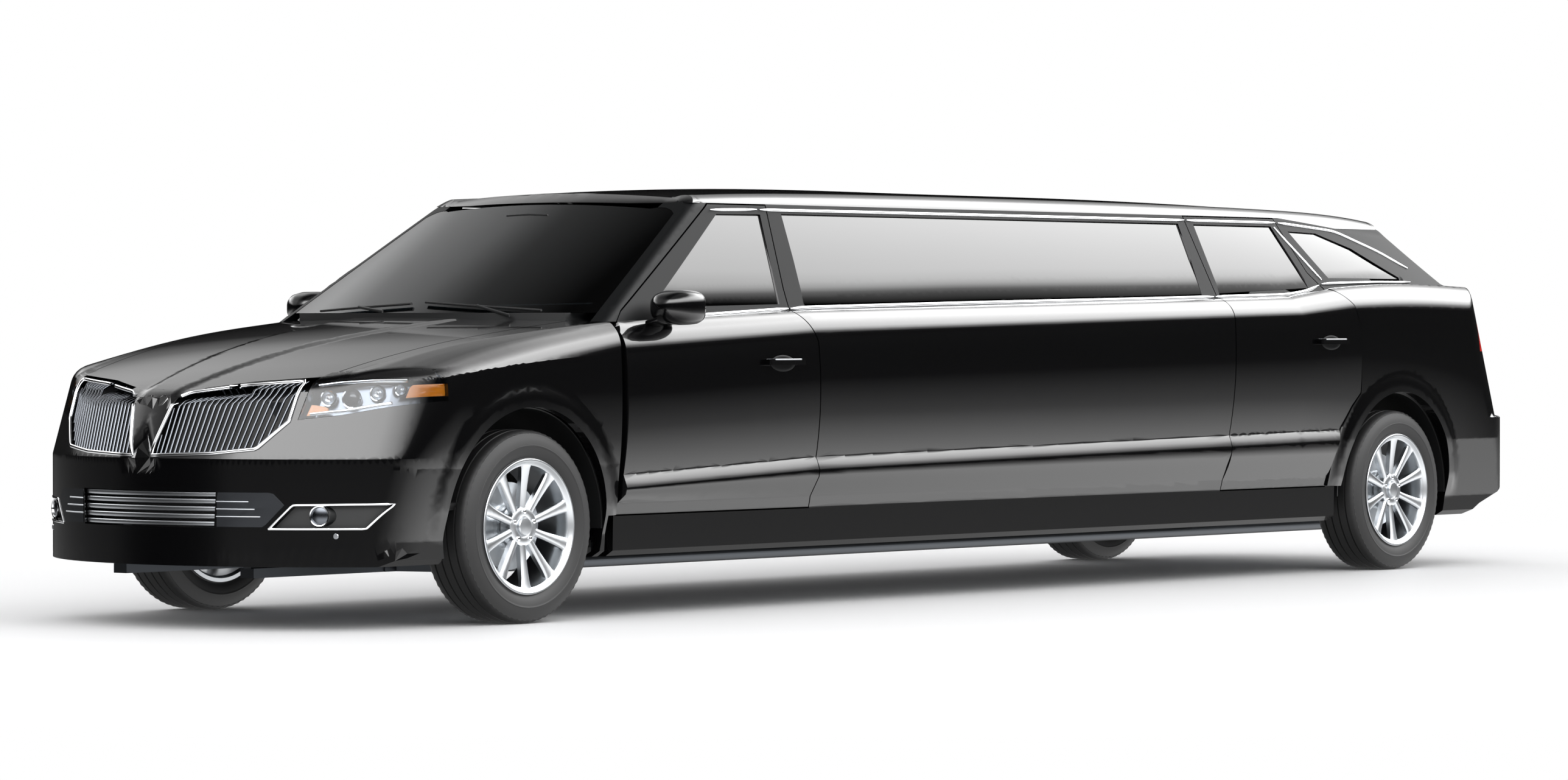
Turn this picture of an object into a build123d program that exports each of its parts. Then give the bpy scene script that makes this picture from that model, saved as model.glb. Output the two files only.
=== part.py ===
from build123d import *
import os

os.makedirs("parts", exist_ok=True)

# Millimetres. X forward, Y to the car's left, Z up; origin on the ground at the middle of the box.
LENGTH = 8321.0
WHEELBASE = 6043.0
FRONT_OVERHANG = 1150.0
X_FRONT = LENGTH / 2 - FRONT_OVERHANG
X_REAR = X_FRONT - WHEELBASE
HALF_WIDTH = 965.0
ROOF_TOP = 1712.0
CROWN = ROOF_TOP - 1.0
TRACK_HALF = 825.0
TYRE_R = 370.5
AXLE_Z = 370.5
ARCH_R = 456.0
WELL_INNER = 478.0
GAP = 6.0
SEAT = 0.3
DOOR_TOP = 1622.0
ROOF_LINE = DOOR_TOP + GAP
SILL_Z = 240.0
DOOR_BOTTOM = 402.0
SLANT = 0.25
DOOR_WALL = 78.0
FRAME_WALL = 40.0


def ax(rel):
    # a place given from the front axle, in the car's own frame
    return X_FRONT + rel


# Lower body stations: place from the front axle, half width, shoulder crease, belt edge and crown.
FRONT_STATIONS = [
    # rel, y_max, z_crease, y_belt, z_belt, z_crown
    (1250, 963, 800, 700, 815, 806),
    (800, 965, 900, 722, 946, 962),
    (400, 965, 955, 772, 1038, 1062),
    (-40, 965, 1000, 832, 1104, 1130),
    (-520, 965, 1026, 884, 1150, 1184),
]
MID_STATIONS = [
    # rel, y_max, z_crease, y_belt, z_belt, z_moulding
    (-520, 965, 1026, 884, 1150, 548),
    (-1724, 965, 1090, 882, 1200, 596),
    (-5228, 965, 1170, 878, 1266, 645),
    (-5760, 963, 1212, 872, 1322, 652),
]
REAR_STATIONS = [
    (-5470, 964, 1196, 874, 1300, 1310),
    (-6100, 958, 1212, 862, 1327, 1337),
    (-6700, 944, 1205, 846, 1318, 1328),
    (-7300, 922, 1190, 826, 1296, 1306),
]
# Greenhouse stations: belt, rail and crown.
CABIN_STATIONS = [
    # rel, y_belt, z_belt, y_rail, z_rail, z_crown
    (-150, 905, 1100, 742, 1520, 1600),
    (-1250, 884, 1172, 712, 1606, 1676),
    (-2100, 882, 1208, 705, 1623, 1709),
    (-3200, 880, 1228, 703, 1626, CROWN),
    (-4300, 878, 1247, 701, 1622, 1709),
    (-5400, 874, 1270, 695, 1610, 1694),
    (-6300, 850, 1320, 652, 1570, 1652),
    (-7200, 806, 1290, 590, 1430, 1540),
]


def lower_section(station, inset=0.0, moulding=False, tuck=0.0):
    # one closed outline of lines and arcs across the lower body
    rel, y_max, z_crease, y_belt, z_belt, last = station
    d = inset
    e = d + tuck
    side = [(868 - e, SILL_Z + d), (903 - e, 262 + d)]
    if moulding:
        side += [(906 - d, DOOR_BOTTOM), (914 - d, 446), (951 - d, last - 70)]
        side += [(957 - d, last - 42), (952 - d, last - 10), (941 - d, last + 8)]
    else:
        side += [(907 - e, 330 + d), (944 - e, 600)]
    z_crown = z_belt + 10 if moulding else last
    low = side[-1]
    full = (y_max - d, low[1] + 0.68 * (z_crease - low[1]))
    crease = (y_max - 9 - d, z_crease)
    belt = (y_belt - d, z_belt - d)
    bulge = ((crease[0] + belt[0]) / 2 + 15, (crease[1] + belt[1]) / 2 + 13)
    left = [(-y, z) for y, z in side]
    with BuildSketch(Plane.YZ.offset(ax(rel))) as sk:
        with BuildLine():
            Polyline(*side)
            ThreePointArc(low, full, crease)
            ThreePointArc(crease, bulge, belt)
            ThreePointArc(belt, (0, z_crown - d), (-belt[0], belt[1]))
            ThreePointArc((-belt[0], belt[1]), (-bulge[0], bulge[1]), (-crease[0], crease[1]))
            ThreePointArc((-crease[0], crease[1]), (-full[0], full[1]), (-low[0], low[1]))
            Polyline(*reversed(left))
            Line(left[0], side[0])
        make_face()
    return sk.sketch


def room_section(station, wall):
    # the plain room inside the walls, open to above
    rel, y_max, z_crease, y_belt, z_belt, last = station
    pts = [
        (868 - wall, SILL_Z - 40), (872 - wall, 600), (y_max - wall, 930),
        (y_belt - FRAME_WALL, z_belt), (820 - FRAME_WALL, 1420),
    ]
    with BuildSketch(Plane.YZ.offset(ax(rel))) as sk:
        with BuildLine():
            Polyline(*pts, *[(-y, z) for y, z in reversed(pts)], close=True)
        make_face()
    return sk.sketch


def cabin_section(station, inset=0.0):
    rel, y_belt, z_belt, y_rail, z_rail, z_crown = station
    d = inset
    foot = (y_belt + 24 - d, z_belt - 60 - d)
    rail = (y_rail - d, z_rail - d / 2)
    turn = (y_rail - 26 - d, z_rail + 34 - d)
    top = (y_rail - 120 - d, z_rail + 0.62 * (z_crown - z_rail) - d)
    with BuildSketch(Plane.YZ.offset(ax(rel))) as sk:
        with BuildLine():
            Line((-foot[0], foot[1]), foot)
            Line(foot, rail)
            ThreePointArc(rail, turn, top)
            ThreePointArc(top, (0, z_crown - d), (-top[0], top[1]))
            ThreePointArc((-top[0], top[1]), (-turn[0], turn[1]), (-rail[0], rail[1]))
            Line((-rail[0], rail[1]), (-foot[0], foot[1]))
        make_face()
    return sk.sketch


def nose_plan(apex, inset=0.0):
    # plan of the front: a broad arc, two round corners, straight sides
    d = inset
    a = ax(apex)
    with BuildSketch() as sk:
        with BuildLine():
            ThreePointArc((a - 331.5 - d, -820), (a - d, 0), (a - 331.5 - d, 820))
            ThreePointArc((a - 331.5 - d, 820), (a - 489 - d, 928 - d / 2), (a - 676 - d, 966 - d))
            Line((a - 676 - d, 966 - d), (ax(-900), 966 - d))
            Polyline((ax(-900), 966 - d), (ax(-900), -966 + d), (a - 676 - d, -966 + d))
            ThreePointArc((a - 676 - d, -966 + d), (a - 489 - d, -928 + d / 2), (a - 331.5 - d, -820))
        make_face()
    return sk.sketch


def tail_plan(end, inset=0.0):
    # plan of the rear: a slight bow and two round corners
    d = inset
    e = ax(end)
    with BuildSketch() as sk:
        with BuildLine():
            ThreePointArc((e + 14 + d, 600), (e + d, 0), (e + 14 + d, -600))
            ThreePointArc((e + 14 + d, -600), (e + 122 + d, -857 + d / 2), (e + 370 + d, -964 + d))
            Line((e + 370 + d, -964 + d), (ax(-5300), -964 + d))
            Polyline((ax(-5300), -964 + d), (ax(-5300), 964 - d), (e + 370 + d, 964 - d))
            ThreePointArc((e + 370 + d, 964 - d), (e + 122 + d, 857 - d / 2), (e + 14 + d, 600))
        make_face()
    return sk.sketch


def screen_plan(apex, bow, inset=0.0):
    # plan of a bowed screen, front or rear, with plain sides behind it
    a = ax(apex)
    s = 1 if bow > 0 else -1
    b = a - s * inset
    with BuildSketch() as sk:
        with BuildLine():
            ThreePointArc((b - bow, -800), (b, 0), (b - bow, 800))
            Polyline((b - bow, 800), (b - 1.6 * bow, 1000), (a - s * 7200, 1000))
            Line((a - s * 7200, 1000), (a - s * 7200, -1000))
            Polyline((a - s * 7200, -1000), (b - 1.6 * bow, -1000), (b - bow, -800))
        make_face()
    return sk.sketch


NOSE_LEAN = (-96.0, 0, 270.0)
TAIL_LEAN = (150.0, 0, 410.0)
SCREEN_LEAN = (-830.0, 0, 475.0)
HATCH_LEAN = (549.0, 0, 402.0)
BUMPER_TOP = 640.0
TAIL_STEP = 700.0


def nose_volume(inset):
    with BuildPart() as vol:
        with Locations((0, 0, 100)):
            add(nose_plan(FRONT_OVERHANG, inset))
        extrude(amount=BUMPER_TOP - 100)
        with Locations((0, 0, BUMPER_TOP)):
            add(nose_plan(FRONT_OVERHANG, inset))
        extrude(amount=800, dir=NOSE_LEAN)
    return vol.part


def front_volume(top, side, nose, open_below):
    with BuildPart() as vol:
        for rel, y_max, z_crease, y_belt, z_belt, z_crown in FRONT_STATIONS:
            row = (rel, y_max - side, z_crease - top / 2, y_belt - side / 2, z_belt - top, z_crown - top)
            add(lower_section(row, tuck=side))
        loft()
        if open_below:
            with BuildSketch(Plane.XY.offset(SILL_Z + 1)):
                with Locations((ax(350), 0)):
                    Rectangle(1740, 2 * (868 - side))
            extrude(amount=-120)
        add(nose_volume(nose), mode=Mode.INTERSECT)
    return vol.part


def rear_volume(side, tail, open_ends):
    with BuildPart() as vol:
        for rel, y_max, z_crease, y_belt, z_belt, z_crown in REAR_STATIONS:
            rise = 60 if open_ends else 0
            row = (rel, y_max - side, z_crease, y_belt - side, z_belt + rise, z_crown + rise)
            add(lower_section(row, tuck=side))
        loft()
        if open_ends:
            with BuildSketch(Plane.XY.offset(SILL_Z + 1)):
                with Locations((ax(-6400), 0)):
                    Rectangle(1700, 2 * (868 - side))
            extrude(amount=-120)
        with BuildPart(mode=Mode.PRIVATE) as cutter:
            with Locations((0, 0, 100)):
                add(tail_plan(-7171, tail))
            extrude(amount=TAIL_STEP - 100)
            with Locations((0, 0, TAIL_STEP)):
                add(tail_plan(-7125, tail))
            extrude(amount=800, dir=TAIL_LEAN)
        add(cutter.part, mode=Mode.INTERSECT)
    return vol.part


def cabin_volume(inset):
    with BuildPart() as vol:
        for station in CABIN_STATIONS:
            end = {CABIN_STATIONS[0]: 2 * inset, CABIN_STATIONS[-1]: -2 * inset}.get(station, 0)
            add(cabin_section((station[0] + end,) + station[1:], inset))
        loft()
    return vol.part


def screen_volume(inset):
    with BuildPart() as vol:
        with Locations((0, 0, 1165)):
            add(screen_plan(-300, 180, inset))
        extrude(amount=1400, dir=SCREEN_LEAN)
        with Locations((0, 0, 1165)):
            add(screen_plan(-300, 180, inset))
        extrude(amount=-300, dir=SCREEN_LEAN)
    return vol.part


def hatch_volume(inset):
    with BuildPart() as vol:
        with Locations((0, 0, 1234)):
            add(screen_plan(-6905, -120, inset))
        extrude(amount=1000, dir=HATCH_LEAN)
        with Locations((0, 0, 1234)):
            add(screen_plan(-6905, -120, inset))
        extrude(amount=-300, dir=HATCH_LEAN)
    return vol.part


SKIN = [
    # z, y
    (200, 868), (402, 908), (600, 944), (930, 965), (1080, 956),
    (1160, 886), (1205, 882), (1330, 830), (1612, 708),
]


def skin_y(z):
    for (z0, y0), (z1, y1) in zip(SKIN, SKIN[1:]):
        if z <= z1:
            return y0 + (y1 - y0) * (z - z0) / (z1 - z0)
    return SKIN[-1][1]


PRISM_Y = 1120.0
SIDE_PLANE = Plane((0, PRISM_Y, 0), x_dir=(1, 0, 0), z_dir=(0, -1, 0))


def side_prism(outline, grow=0.0, twin=False):
    # an outline on the skin, swept inwards along the slant that the door's shut faces share
    pts = [(ax(x) - (PRISM_Y - skin_y(z)) * SLANT, z) for x, z in outline]
    with BuildPart() as prism:
        with BuildSketch(SIDE_PLANE):
            with BuildLine():
                Polyline(*pts, close=True)
            make_face()
            if grow:
                offset(amount=grow, kind=Kind.INTERSECTION)
        extrude(amount=560, dir=(SLANT, -1, 0))
        if twin:
            mirror(about=Plane.XZ)
    return prism.part


def through_y(outline, reach=1200):
    # a side view outline right across the car
    with BuildPart() as slab:
        with BuildSketch(Plane.XZ):
            with BuildLine():
                Polyline(*[(ax(x), z) for x, z in outline], close=True)
            make_face()
        extrude(amount=reach, both=True)
    return slab.part


def along_x(outline, start, end, grow=0.0):
    # a front view outline of the left side swept along X, with its twin
    with BuildPart() as slab:
        with BuildSketch(Plane.YZ.offset(ax(start))):
            with BuildLine():
                Polyline(*outline, close=True)
            make_face()
            mirror(about=Plane.YZ)
            if grow:
                offset(amount=grow, kind=Kind.INTERSECTION)
        extrude(amount=end - start)
    return slab.part


def arch_cutter(radius, inner=WELL_INNER):
    with BuildPart() as wells:
        for x in (X_FRONT, X_REAR):
            with BuildSketch(Plane((x, inner, AXLE_Z), x_dir=(1, 0, 0), z_dir=(0, 1, 0))):
                Circle(radius)
            extrude(amount=700)
        mirror(about=Plane.XZ)
    return wells.part


front_out = front_volume(0, 0, 0, False)
front_in = front_volume(32, 42, 46, True)
rear_out = rear_volume(0, 0, False)
rear_in = rear_volume(52, 76, True)
cabin_out = cabin_volume(0)
cabin_in = cabin_volume(FRAME_WALL)
screen = screen_volume(0)
hatch = hatch_volume(0)
wells = arch_cutter(ARCH_R)
print("masters done")

with BuildPart() as front_wall:
    add(front_out)
    add(front_in, mode=Mode.SUBTRACT)
    add(wells, mode=Mode.SUBTRACT)
with BuildPart() as mid_wall:
    for station in MID_STATIONS:
        add(lower_section(station, 0, True))
    loft(ruled=True)
    for station in MID_STATIONS:
        add(room_section(station, DOOR_WALL))
    loft(ruled=True, mode=Mode.SUBTRACT)
    add(wells, mode=Mode.SUBTRACT)
with BuildPart() as rear_wall:
    add(rear_out)
    add(rear_in, mode=Mode.SUBTRACT)
    add(wells, mode=Mode.SUBTRACT)
with BuildPart() as cabin_wall:
    add(cabin_out)
    add(cabin_in, mode=Mode.SUBTRACT)
    add(screen, mode=Mode.INTERSECT)
    add(hatch, mode=Mode.INTERSECT)

# Outlines on the skin, side view: place from the front axle and height.
DOOR_FRONT = [
    (-535, DOOR_BOTTOM), (-535, 1110), (-612, 1190), (-1330, DOOR_TOP), (-1692, DOOR_TOP),
    (-1640, 1290), (-1634, 1196), (-1724, 1073), (-1724, DOOR_BOTTOM),
]
DOOR_REAR = [
    (-4650, DOOR_BOTTOM), (-4650, DOOR_TOP), (-5379, DOOR_TOP), (-5470, 1376), (-5530, 1316), (-5640, 1226),
    (-5700, 1110), (-5700, 826), (-5632, 766), (-5560, 674), (-5504, 548), (-5480, DOOR_BOTTOM),
]
PANE_FRONT = [(-800, 1206), (-1366, 1584), (-1642, 1586), (-1588, 1222)]
PANE_LONG = [(-1752, 1222), (-1779, 1590), (-4588, 1590), (-4570, 1274)]
PANE_REAR = [(-4706, 1278), (-4706, 1588), (-5333, 1588), (-5412, 1392), (-5440, 1306)]
PANE_QUARTER = [(-5464, 1566), (-5632, 1352), (-6270, 1352), (-5960, 1492), (-5700, 1560)]
HANDLE_FRONT = (-1492, 990)
HANDLE_REAR = (-5448, 1062)

door_front_cut = side_prism(DOOR_FRONT)
door_front_hole = side_prism(DOOR_FRONT, GAP, twin=True)
door_rear_cut = side_prism(DOOR_REAR)
door_rear_hole = side_prism(DOOR_REAR, GAP, twin=True)
pane_front_hole = side_prism(PANE_FRONT)
pane_long_hole = side_prism(PANE_LONG, twin=True)
pane_rear_hole = side_prism(PANE_REAR)
pane_quarter_hole = side_prism(PANE_QUARTER, twin=True)
SEAL = -0.4
pane_front_fill = side_prism(PANE_FRONT, SEAL)
pane_long_fill = side_prism(PANE_LONG, SEAL, twin=True)
pane_rear_fill = side_prism(PANE_REAR, SEAL)
pane_quarter_fill = side_prism(PANE_QUARTER, SEAL, twin=True)

with BuildPart() as glass_wall:
    add(cabin_volume(5))
    add(cabin_volume(11), mode=Mode.SUBTRACT)


def striker(rel, z, hole, door):
    # a latch striker that bridges the shut gap behind a door
    with BuildPart() as block:
        with Locations((ax(rel), 905, z), (ax(rel), -905, z)):
            Box(120, 26, 30)
        add(hole, mode=Mode.INTERSECT)
        add(side_prism(door, SEAT, twin=True), mode=Mode.SUBTRACT)
    return block.part.solids().filter_by(lambda one: one.center().X < ax(rel))


def handle(rel, z, y):
    with BuildPart() as bar:
        with BuildSketch(Plane.XY.offset(z - 12)):
            with Locations((ax(rel), y + 22)):
                RectangleRounded(226, 20, 9)
            with Locations((ax(rel - 88), y + 4), (ax(rel + 88), y + 4)):
                Rectangle(34, 42)
        extrude(amount=24)
    return bar.part


made = []


def keep(part, name):
    part.label = name
    export_step(part, "parts/" + name + ".step")
    made.append((name, len(part.solids()), part.volume))
    print(name, len(part.solids()), round(part.volume / 1e6, 2))


def keep_pair(part, name):
    # the left piece and its twin
    keep(part, name + "_left")
    keep(mirror(part, about=Plane.XZ, mode=Mode.PRIVATE), name + "_right")


for name, cut, pane, fill, grip in (
    ("front_door", door_front_cut, pane_front_hole, pane_front_fill, HANDLE_FRONT),
    ("rear_door", door_rear_cut, pane_rear_hole, pane_rear_fill, HANDLE_REAR),
):
    with BuildPart() as upper:
        add(cabin_wall.part)
        add(cut, mode=Mode.INTERSECT)
    with BuildPart() as door:
        add(mid_wall.part)
        add(cut, mode=Mode.INTERSECT)
        add(upper.part)
        add(pane, mode=Mode.SUBTRACT)
        add(handle(*grip, 962))
    keep_pair(door.part, name)
    with BuildPart() as pane_part:
        add(glass_wall.part)
        add(fill, mode=Mode.INTERSECT)
    keep_pair(pane_part.part, name + "_glass")

# Side of the stretch: the sill and the long panel with its window.
SIDE_REGION = [
    (-470, 200), (-470, DOOR_BOTTOM), (-1700, DOOR_BOTTOM), (-1560, ROOF_LINE),
    (-4900, ROOF_LINE), (-4900, DOOR_BOTTOM), (-5560, DOOR_BOTTOM), (-5560, 200),
]
side_region = through_y(SIDE_REGION)
with BuildPart() as upper_side:
    add(cabin_wall.part)
    add(side_region, mode=Mode.INTERSECT)
with BuildPart() as side_panels:
    add(mid_wall.part)
    add(side_region, mode=Mode.INTERSECT)
    add(upper_side.part)
    add(door_front_hole, mode=Mode.SUBTRACT)
    add(door_rear_hole, mode=Mode.SUBTRACT)
    add(pane_long_hole, mode=Mode.SUBTRACT)
    add(striker(-1718, 760, door_front_hole, DOOR_FRONT))
keep(side_panels.part, "side_panels")
with BuildPart() as side_windows:
    add(glass_wall.part)
    with BuildPart(mode=Mode.PRIVATE) as panes:
        add(pane_long_fill)
        add(pane_quarter_fill)
    add(panes.part, mode=Mode.INTERSECT)
keep(side_windows.part, "side_windows")

# Front pillars and windscreen.
PILLAR_REGION = [
    (-300, 1150), (-700, 1714), (-1160, ROOF_LINE), (-1420, ROOF_LINE), (-1420, 1500), (-560, 1150),
]
with BuildPart() as front_pillars:
    add(cabin_wall.part)
    add(through_y(PILLAR_REGION), mode=Mode.INTERSECT)
    add(door_front_hole, mode=Mode.SUBTRACT)
    add(front_out, mode=Mode.SUBTRACT)
    with Locations((ax(-1000), 0, 1600)):
        Box(2000, 1160, 400, mode=Mode.SUBTRACT)
keep(front_pillars.part, "front_pillars")
SCREEN_FOOT = 1186.0
with BuildPart() as windshield:
    add(cabin_volume(FRAME_WALL + 0.4))
    add(screen_volume(2), mode=Mode.INTERSECT)
    add(screen_volume(8), mode=Mode.SUBTRACT)
    with BuildSketch(Plane.XY.offset(SCREEN_FOOT)):
        Rectangle(9000, 2400)
    extrude(amount=600, mode=Mode.INTERSECT)
keep(windshield.part, "windshield")

# Rear quarter with the small window, tail lamps and tailgate.
GATE_VIEW = [(0, 724), (590, 724), (668, 1010), (672, 1180), (640, 1290), (520, 1585), (0, 1600)]
TAIL_LAMP_VIEW = [(690, 1012), (990, 1012), (990, 1140), (692, 1140)]
BUMPER_SIDE = [
    (-6440, 200), (-6440, 470), (-6560, 690), (-7300, TAIL_STEP), (-7300, 590), (-7150, 486),
    (-7096, 415), (-6960, 340), (-6807, 290), (-6700, 236),
]
gate_cut = along_x(GATE_VIEW, -7300, -6262)
gate_hole = along_x([(0, 690), (590, 690)] + GATE_VIEW[1:], -7300, -6256, GAP)
lamp_cut = along_x(TAIL_LAMP_VIEW, -7300, -6760)
lamp_hole = along_x(TAIL_LAMP_VIEW, -7300, -6760, SEAT)
with BuildPart() as hatch_slab:
    add(cabin_out)
    add(hatch, mode=Mode.INTERSECT)
    add(hatch_volume(FRAME_WALL), mode=Mode.SUBTRACT)
    with BuildSketch(Plane.XY.offset(1160)):
        Rectangle(9000, 2400)
    extrude(amount=600, mode=Mode.INTERSECT)
ROOF_EDGE = [
    (-1160, ROOF_LINE), (-5420, ROOF_LINE), (-5900, 1586), (-6700, 1586),
    (-6700, 1780), (-700, 1780), (-700, 1714),
]
with BuildPart() as roof:
    add(cabin_wall.part)
    add(hatch_slab.part)
    add(through_y(ROOF_EDGE), mode=Mode.INTERSECT)
    add(gate_hole, mode=Mode.SUBTRACT)
keep(roof.part, "roof")
QUARTER_REGION = [
    (-5400, 200), (-5330, ROOF_LINE), (-5420, ROOF_LINE), (-5900, 1586), (-7300, 1586),
    (-7300, TAIL_STEP), (-6560, 690), (-6440, 470), (-6440, 200),
]
quarter_region = through_y(QUARTER_REGION)
with BuildPart() as upper_quarter:
    add(cabin_wall.part)
    add(quarter_region, mode=Mode.INTERSECT)
with BuildPart() as quarter_panels:
    add(rear_wall.part)
    add(hatch_slab.part)
    add(quarter_region, mode=Mode.INTERSECT)
    add(upper_quarter.part)
    add(door_rear_hole, mode=Mode.SUBTRACT)
    add(gate_hole, mode=Mode.SUBTRACT)
    add(lamp_hole, mode=Mode.SUBTRACT)
    add(pane_quarter_hole, mode=Mode.SUBTRACT)
    with BuildSketch(Plane.XZ):
        with Locations((ax(-5420), 300)):
            Rectangle(400, 204)
    extrude(amount=1200, both=True, mode=Mode.SUBTRACT)
    add(striker(-5694, 960, door_rear_hole, DOOR_REAR))
keep(quarter_panels.part, "quarter_panels")
with BuildPart() as tail_lamps:
    add(rear_wall.part)
    add(lamp_cut, mode=Mode.INTERSECT)
keep(tail_lamps.part, "tail_lamps")
with BuildPart() as rear_bumper:
    add(rear_wall.part)
    add(through_y(BUMPER_SIDE), mode=Mode.INTERSECT)
    with BuildSketch(Plane.XY.offset(TAIL_STEP - 12)):
        with Locations((ax(-7112), 400), (ax(-7112), -400)):
            Circle(14)
    extrude(amount=GATE_VIEW[0][1] - SEAT - TAIL_STEP + 12)
keep(rear_bumper.part, "rear_bumper")
GATE_PANE = [(0, 1300), (560, 1300), (470, 1536), (0, 1552)]
with BuildPart() as tailgate:
    add(rear_wall.part)
    add(hatch_slab.part)
    add(gate_cut, mode=Mode.INTERSECT)
    with BuildSketch(Plane.XY.offset(712 + GAP)):
        Rectangle(9000, 2400)
    extrude(amount=1200, mode=Mode.INTERSECT)
    add(along_x(GATE_PANE, -7300, -6200), mode=Mode.SUBTRACT)
keep(tailgate.part, "tailgate")
with BuildPart() as tailgate_glass:
    add(hatch_volume(3))
    add(hatch_volume(9), mode=Mode.SUBTRACT)
    add(along_x(GATE_PANE, -7300, -6200, -0.4), mode=Mode.INTERSECT)
keep(tailgate_glass.part, "tailgate_glass")

# Front end.
HOOD_PLAN = [
    (-296, 0), (-320, 300), (-382, 560), (-446, 730), (-40, 726),
    (420, 690), (800, 640), (1300, 600), (1300, 0),
]
HOOD_VIEW = [(0, 878), (60, 878), (155, 899), (370, 927), (620, 944), (800, 960), (900, 1400), (0, 1400)]
GRILLE_VIEW = [
    (52, 650), (112, 866), (155, 886), (370, 914), (596, 930), (586, 782), (496, 678), (325, 660),
]
LAMP_VIEW = [(612, 786), (628, 934), (800, 946), (990, 946), (990, 862), (866, 834), (739, 803)]
LOWER_INTAKE = [(0, 384), (345, 384), (352, 520), (0, 520)]
FOG_VIEW = [(547, 381), (626, 470), (902, 474), (839, 382)]
BUMPER_REGION = [(508, 890), (508, 640), (400, 560), (330, 200), (1300, 200), (1300, 890)]


def hood_plan(grow):
    with BuildPart() as prism:
        with BuildSketch(Plane.XY.offset(700)):
            with BuildLine():
                Polyline(*[(ax(x), y) for x, y in HOOD_PLAN], close=True)
            make_face()
            mirror(about=Plane.XZ)
            if grow:
                offset(amount=grow, kind=Kind.INTERSECTION)
        extrude(amount=700)
    return prism.part


hood_view = along_x(HOOD_VIEW, -700, 1300)
hood_view_hole = along_x(HOOD_VIEW, -700, 1300, GAP)
grille_cut = along_x(GRILLE_VIEW, 500, 1300)
head_cut = along_x(LAMP_VIEW, 470, 1300)
head_hole = along_x(LAMP_VIEW, 470, 1300, SEAT)
fog_cut = along_x(FOG_VIEW, 500, 1300)
intake_cut = along_x(LOWER_INTAKE, 600, 1300)
with BuildPart() as hood:
    add(front_wall.part)
    add(hood_plan(0), mode=Mode.INTERSECT)
    add(hood_view, mode=Mode.INTERSECT)
keep(hood.part, "hood")
with BuildPart() as front_bumper:
    add(front_wall.part)
    add(through_y(BUMPER_REGION), mode=Mode.INTERSECT)
    add(hood_view_hole, mode=Mode.SUBTRACT)
    for hole in (grille_cut, head_hole, fog_cut, intake_cut):
        add(hole, mode=Mode.SUBTRACT)
    with BuildPart(mode=Mode.PRIVATE) as hood_stops:
        with BuildSketch(Plane.XY.offset(860)):
            with Locations((ax(1044), 30), (ax(1044), -30)):
                Circle(9)
        extrude(amount=100)
        add(hood_view_hole, mode=Mode.INTERSECT)
        add(along_x(HOOD_VIEW, -700, 1300, SEAT), mode=Mode.SUBTRACT)
    add(hood_stops.part)
keep(front_bumper.part, "front_bumper")
FENDER_REGION = [
    (-529, 200), (-529, 1300), (1100, 1300), (1100, 890), (508, 890), (508, 640), (400, 560), (330, 200),
]
with BuildPart() as front_fenders:
    add(front_wall.part)
    add(through_y(FENDER_REGION), mode=Mode.INTERSECT)
    add(head_hole, mode=Mode.SUBTRACT)
    with BuildPart(mode=Mode.PRIVATE) as middle:
        add(hood_plan(GAP))
        with BuildSketch(Plane.XY.offset(100)):
            with Locations((ax(-300), 0)):
                Rectangle(700, 1440)
        extrude(amount=1300)
    add(middle.part, mode=Mode.SUBTRACT)
    add(door_front_hole, mode=Mode.SUBTRACT)
    with BuildSketch(Plane.XZ):
        with Locations((ax(-500), 300)):
            Rectangle(60, 204)
    extrude(amount=1200, both=True, mode=Mode.SUBTRACT)
keep(front_fenders.part, "front_fenders")

COWL_HALF = 720 - SEAT
with BuildPart() as cowl:
    with BuildSketch(Plane.XY.offset(1120)):
        with BuildLine():
            ThreePointArc((ax(-452), -COWL_HALF), (ax(-303), 0), (ax(-452), COWL_HALF))
            Line((ax(-452), COWL_HALF), (ax(-640), COWL_HALF))
            ThreePointArc((ax(-640), COWL_HALF), (ax(-580), 0), (ax(-640), -COWL_HALF))
            Line((ax(-640), -COWL_HALF), (ax(-452), -COWL_HALF))
        make_face()
    extrude(amount=SCREEN_FOOT - SEAT - 1120)
    with BuildSketch(Plane.YZ.offset(ax(-560))):
        with Locations((0, 710)):
            Rectangle(1420, 840)
    extrude(amount=-30)
keep(cowl.part, "cowl")

BARS = 21
with BuildPart() as nose_skin:
    add(nose_volume(8))
    add(nose_volume(34), mode=Mode.SUBTRACT)
grille_plane = Plane.YZ.offset(ax(500))
with BuildSketch(grille_plane) as wing:
    with BuildLine():
        Polyline(*GRILLE_VIEW, close=True)
    make_face()
    offset(amount=-0.5, kind=Kind.INTERSECTION)
with BuildSketch(grille_plane) as slats:
    for i in range(BARS):
        lean = 46 * i / BARS - 4
        foot = 66 + i * 25.0
        with BuildLine():
            Polyline((foot, 640), (foot + 8, 640), (foot + 8 + lean, 940), (foot + lean, 940), close=True)
        make_face()
    add(wing.sketch_local, mode=Mode.INTERSECT)
with BuildSketch(grille_plane) as lattice:
    add(wing.sketch_local)
    offset(wing.sketch_local, amount=-15, kind=Kind.INTERSECTION, mode=Mode.SUBTRACT)
    add(slats.sketch_local)
    mirror(about=Plane.YZ)
with BuildPart() as lattice_bars:
    extrude(lattice.sketch, amount=800, dir=(1, 0, 0))
with BuildPart() as grille:
    add(nose_skin.part)
    add(lattice_bars.part, mode=Mode.INTERSECT)
    with BuildSketch(Plane.YZ.offset(ax(1040))):
        with Locations(*[(0, z) for z in (398, 426, 454, 482, 508)]):
            Rectangle(689, 12)
        with Locations((-250, 452), (250, 452)):
            Rectangle(10, 136 - 2 * SEAT)
    extrude(amount=50)
keep(grille.part, "grille")
with BuildPart() as headlamps:
    add(front_volume(4, 4, 4, False))
    add(front_volume(70, 90, 90, True), mode=Mode.SUBTRACT)
    add(head_cut, mode=Mode.INTERSECT)
keep(headlamps.part, "headlamps")
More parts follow.
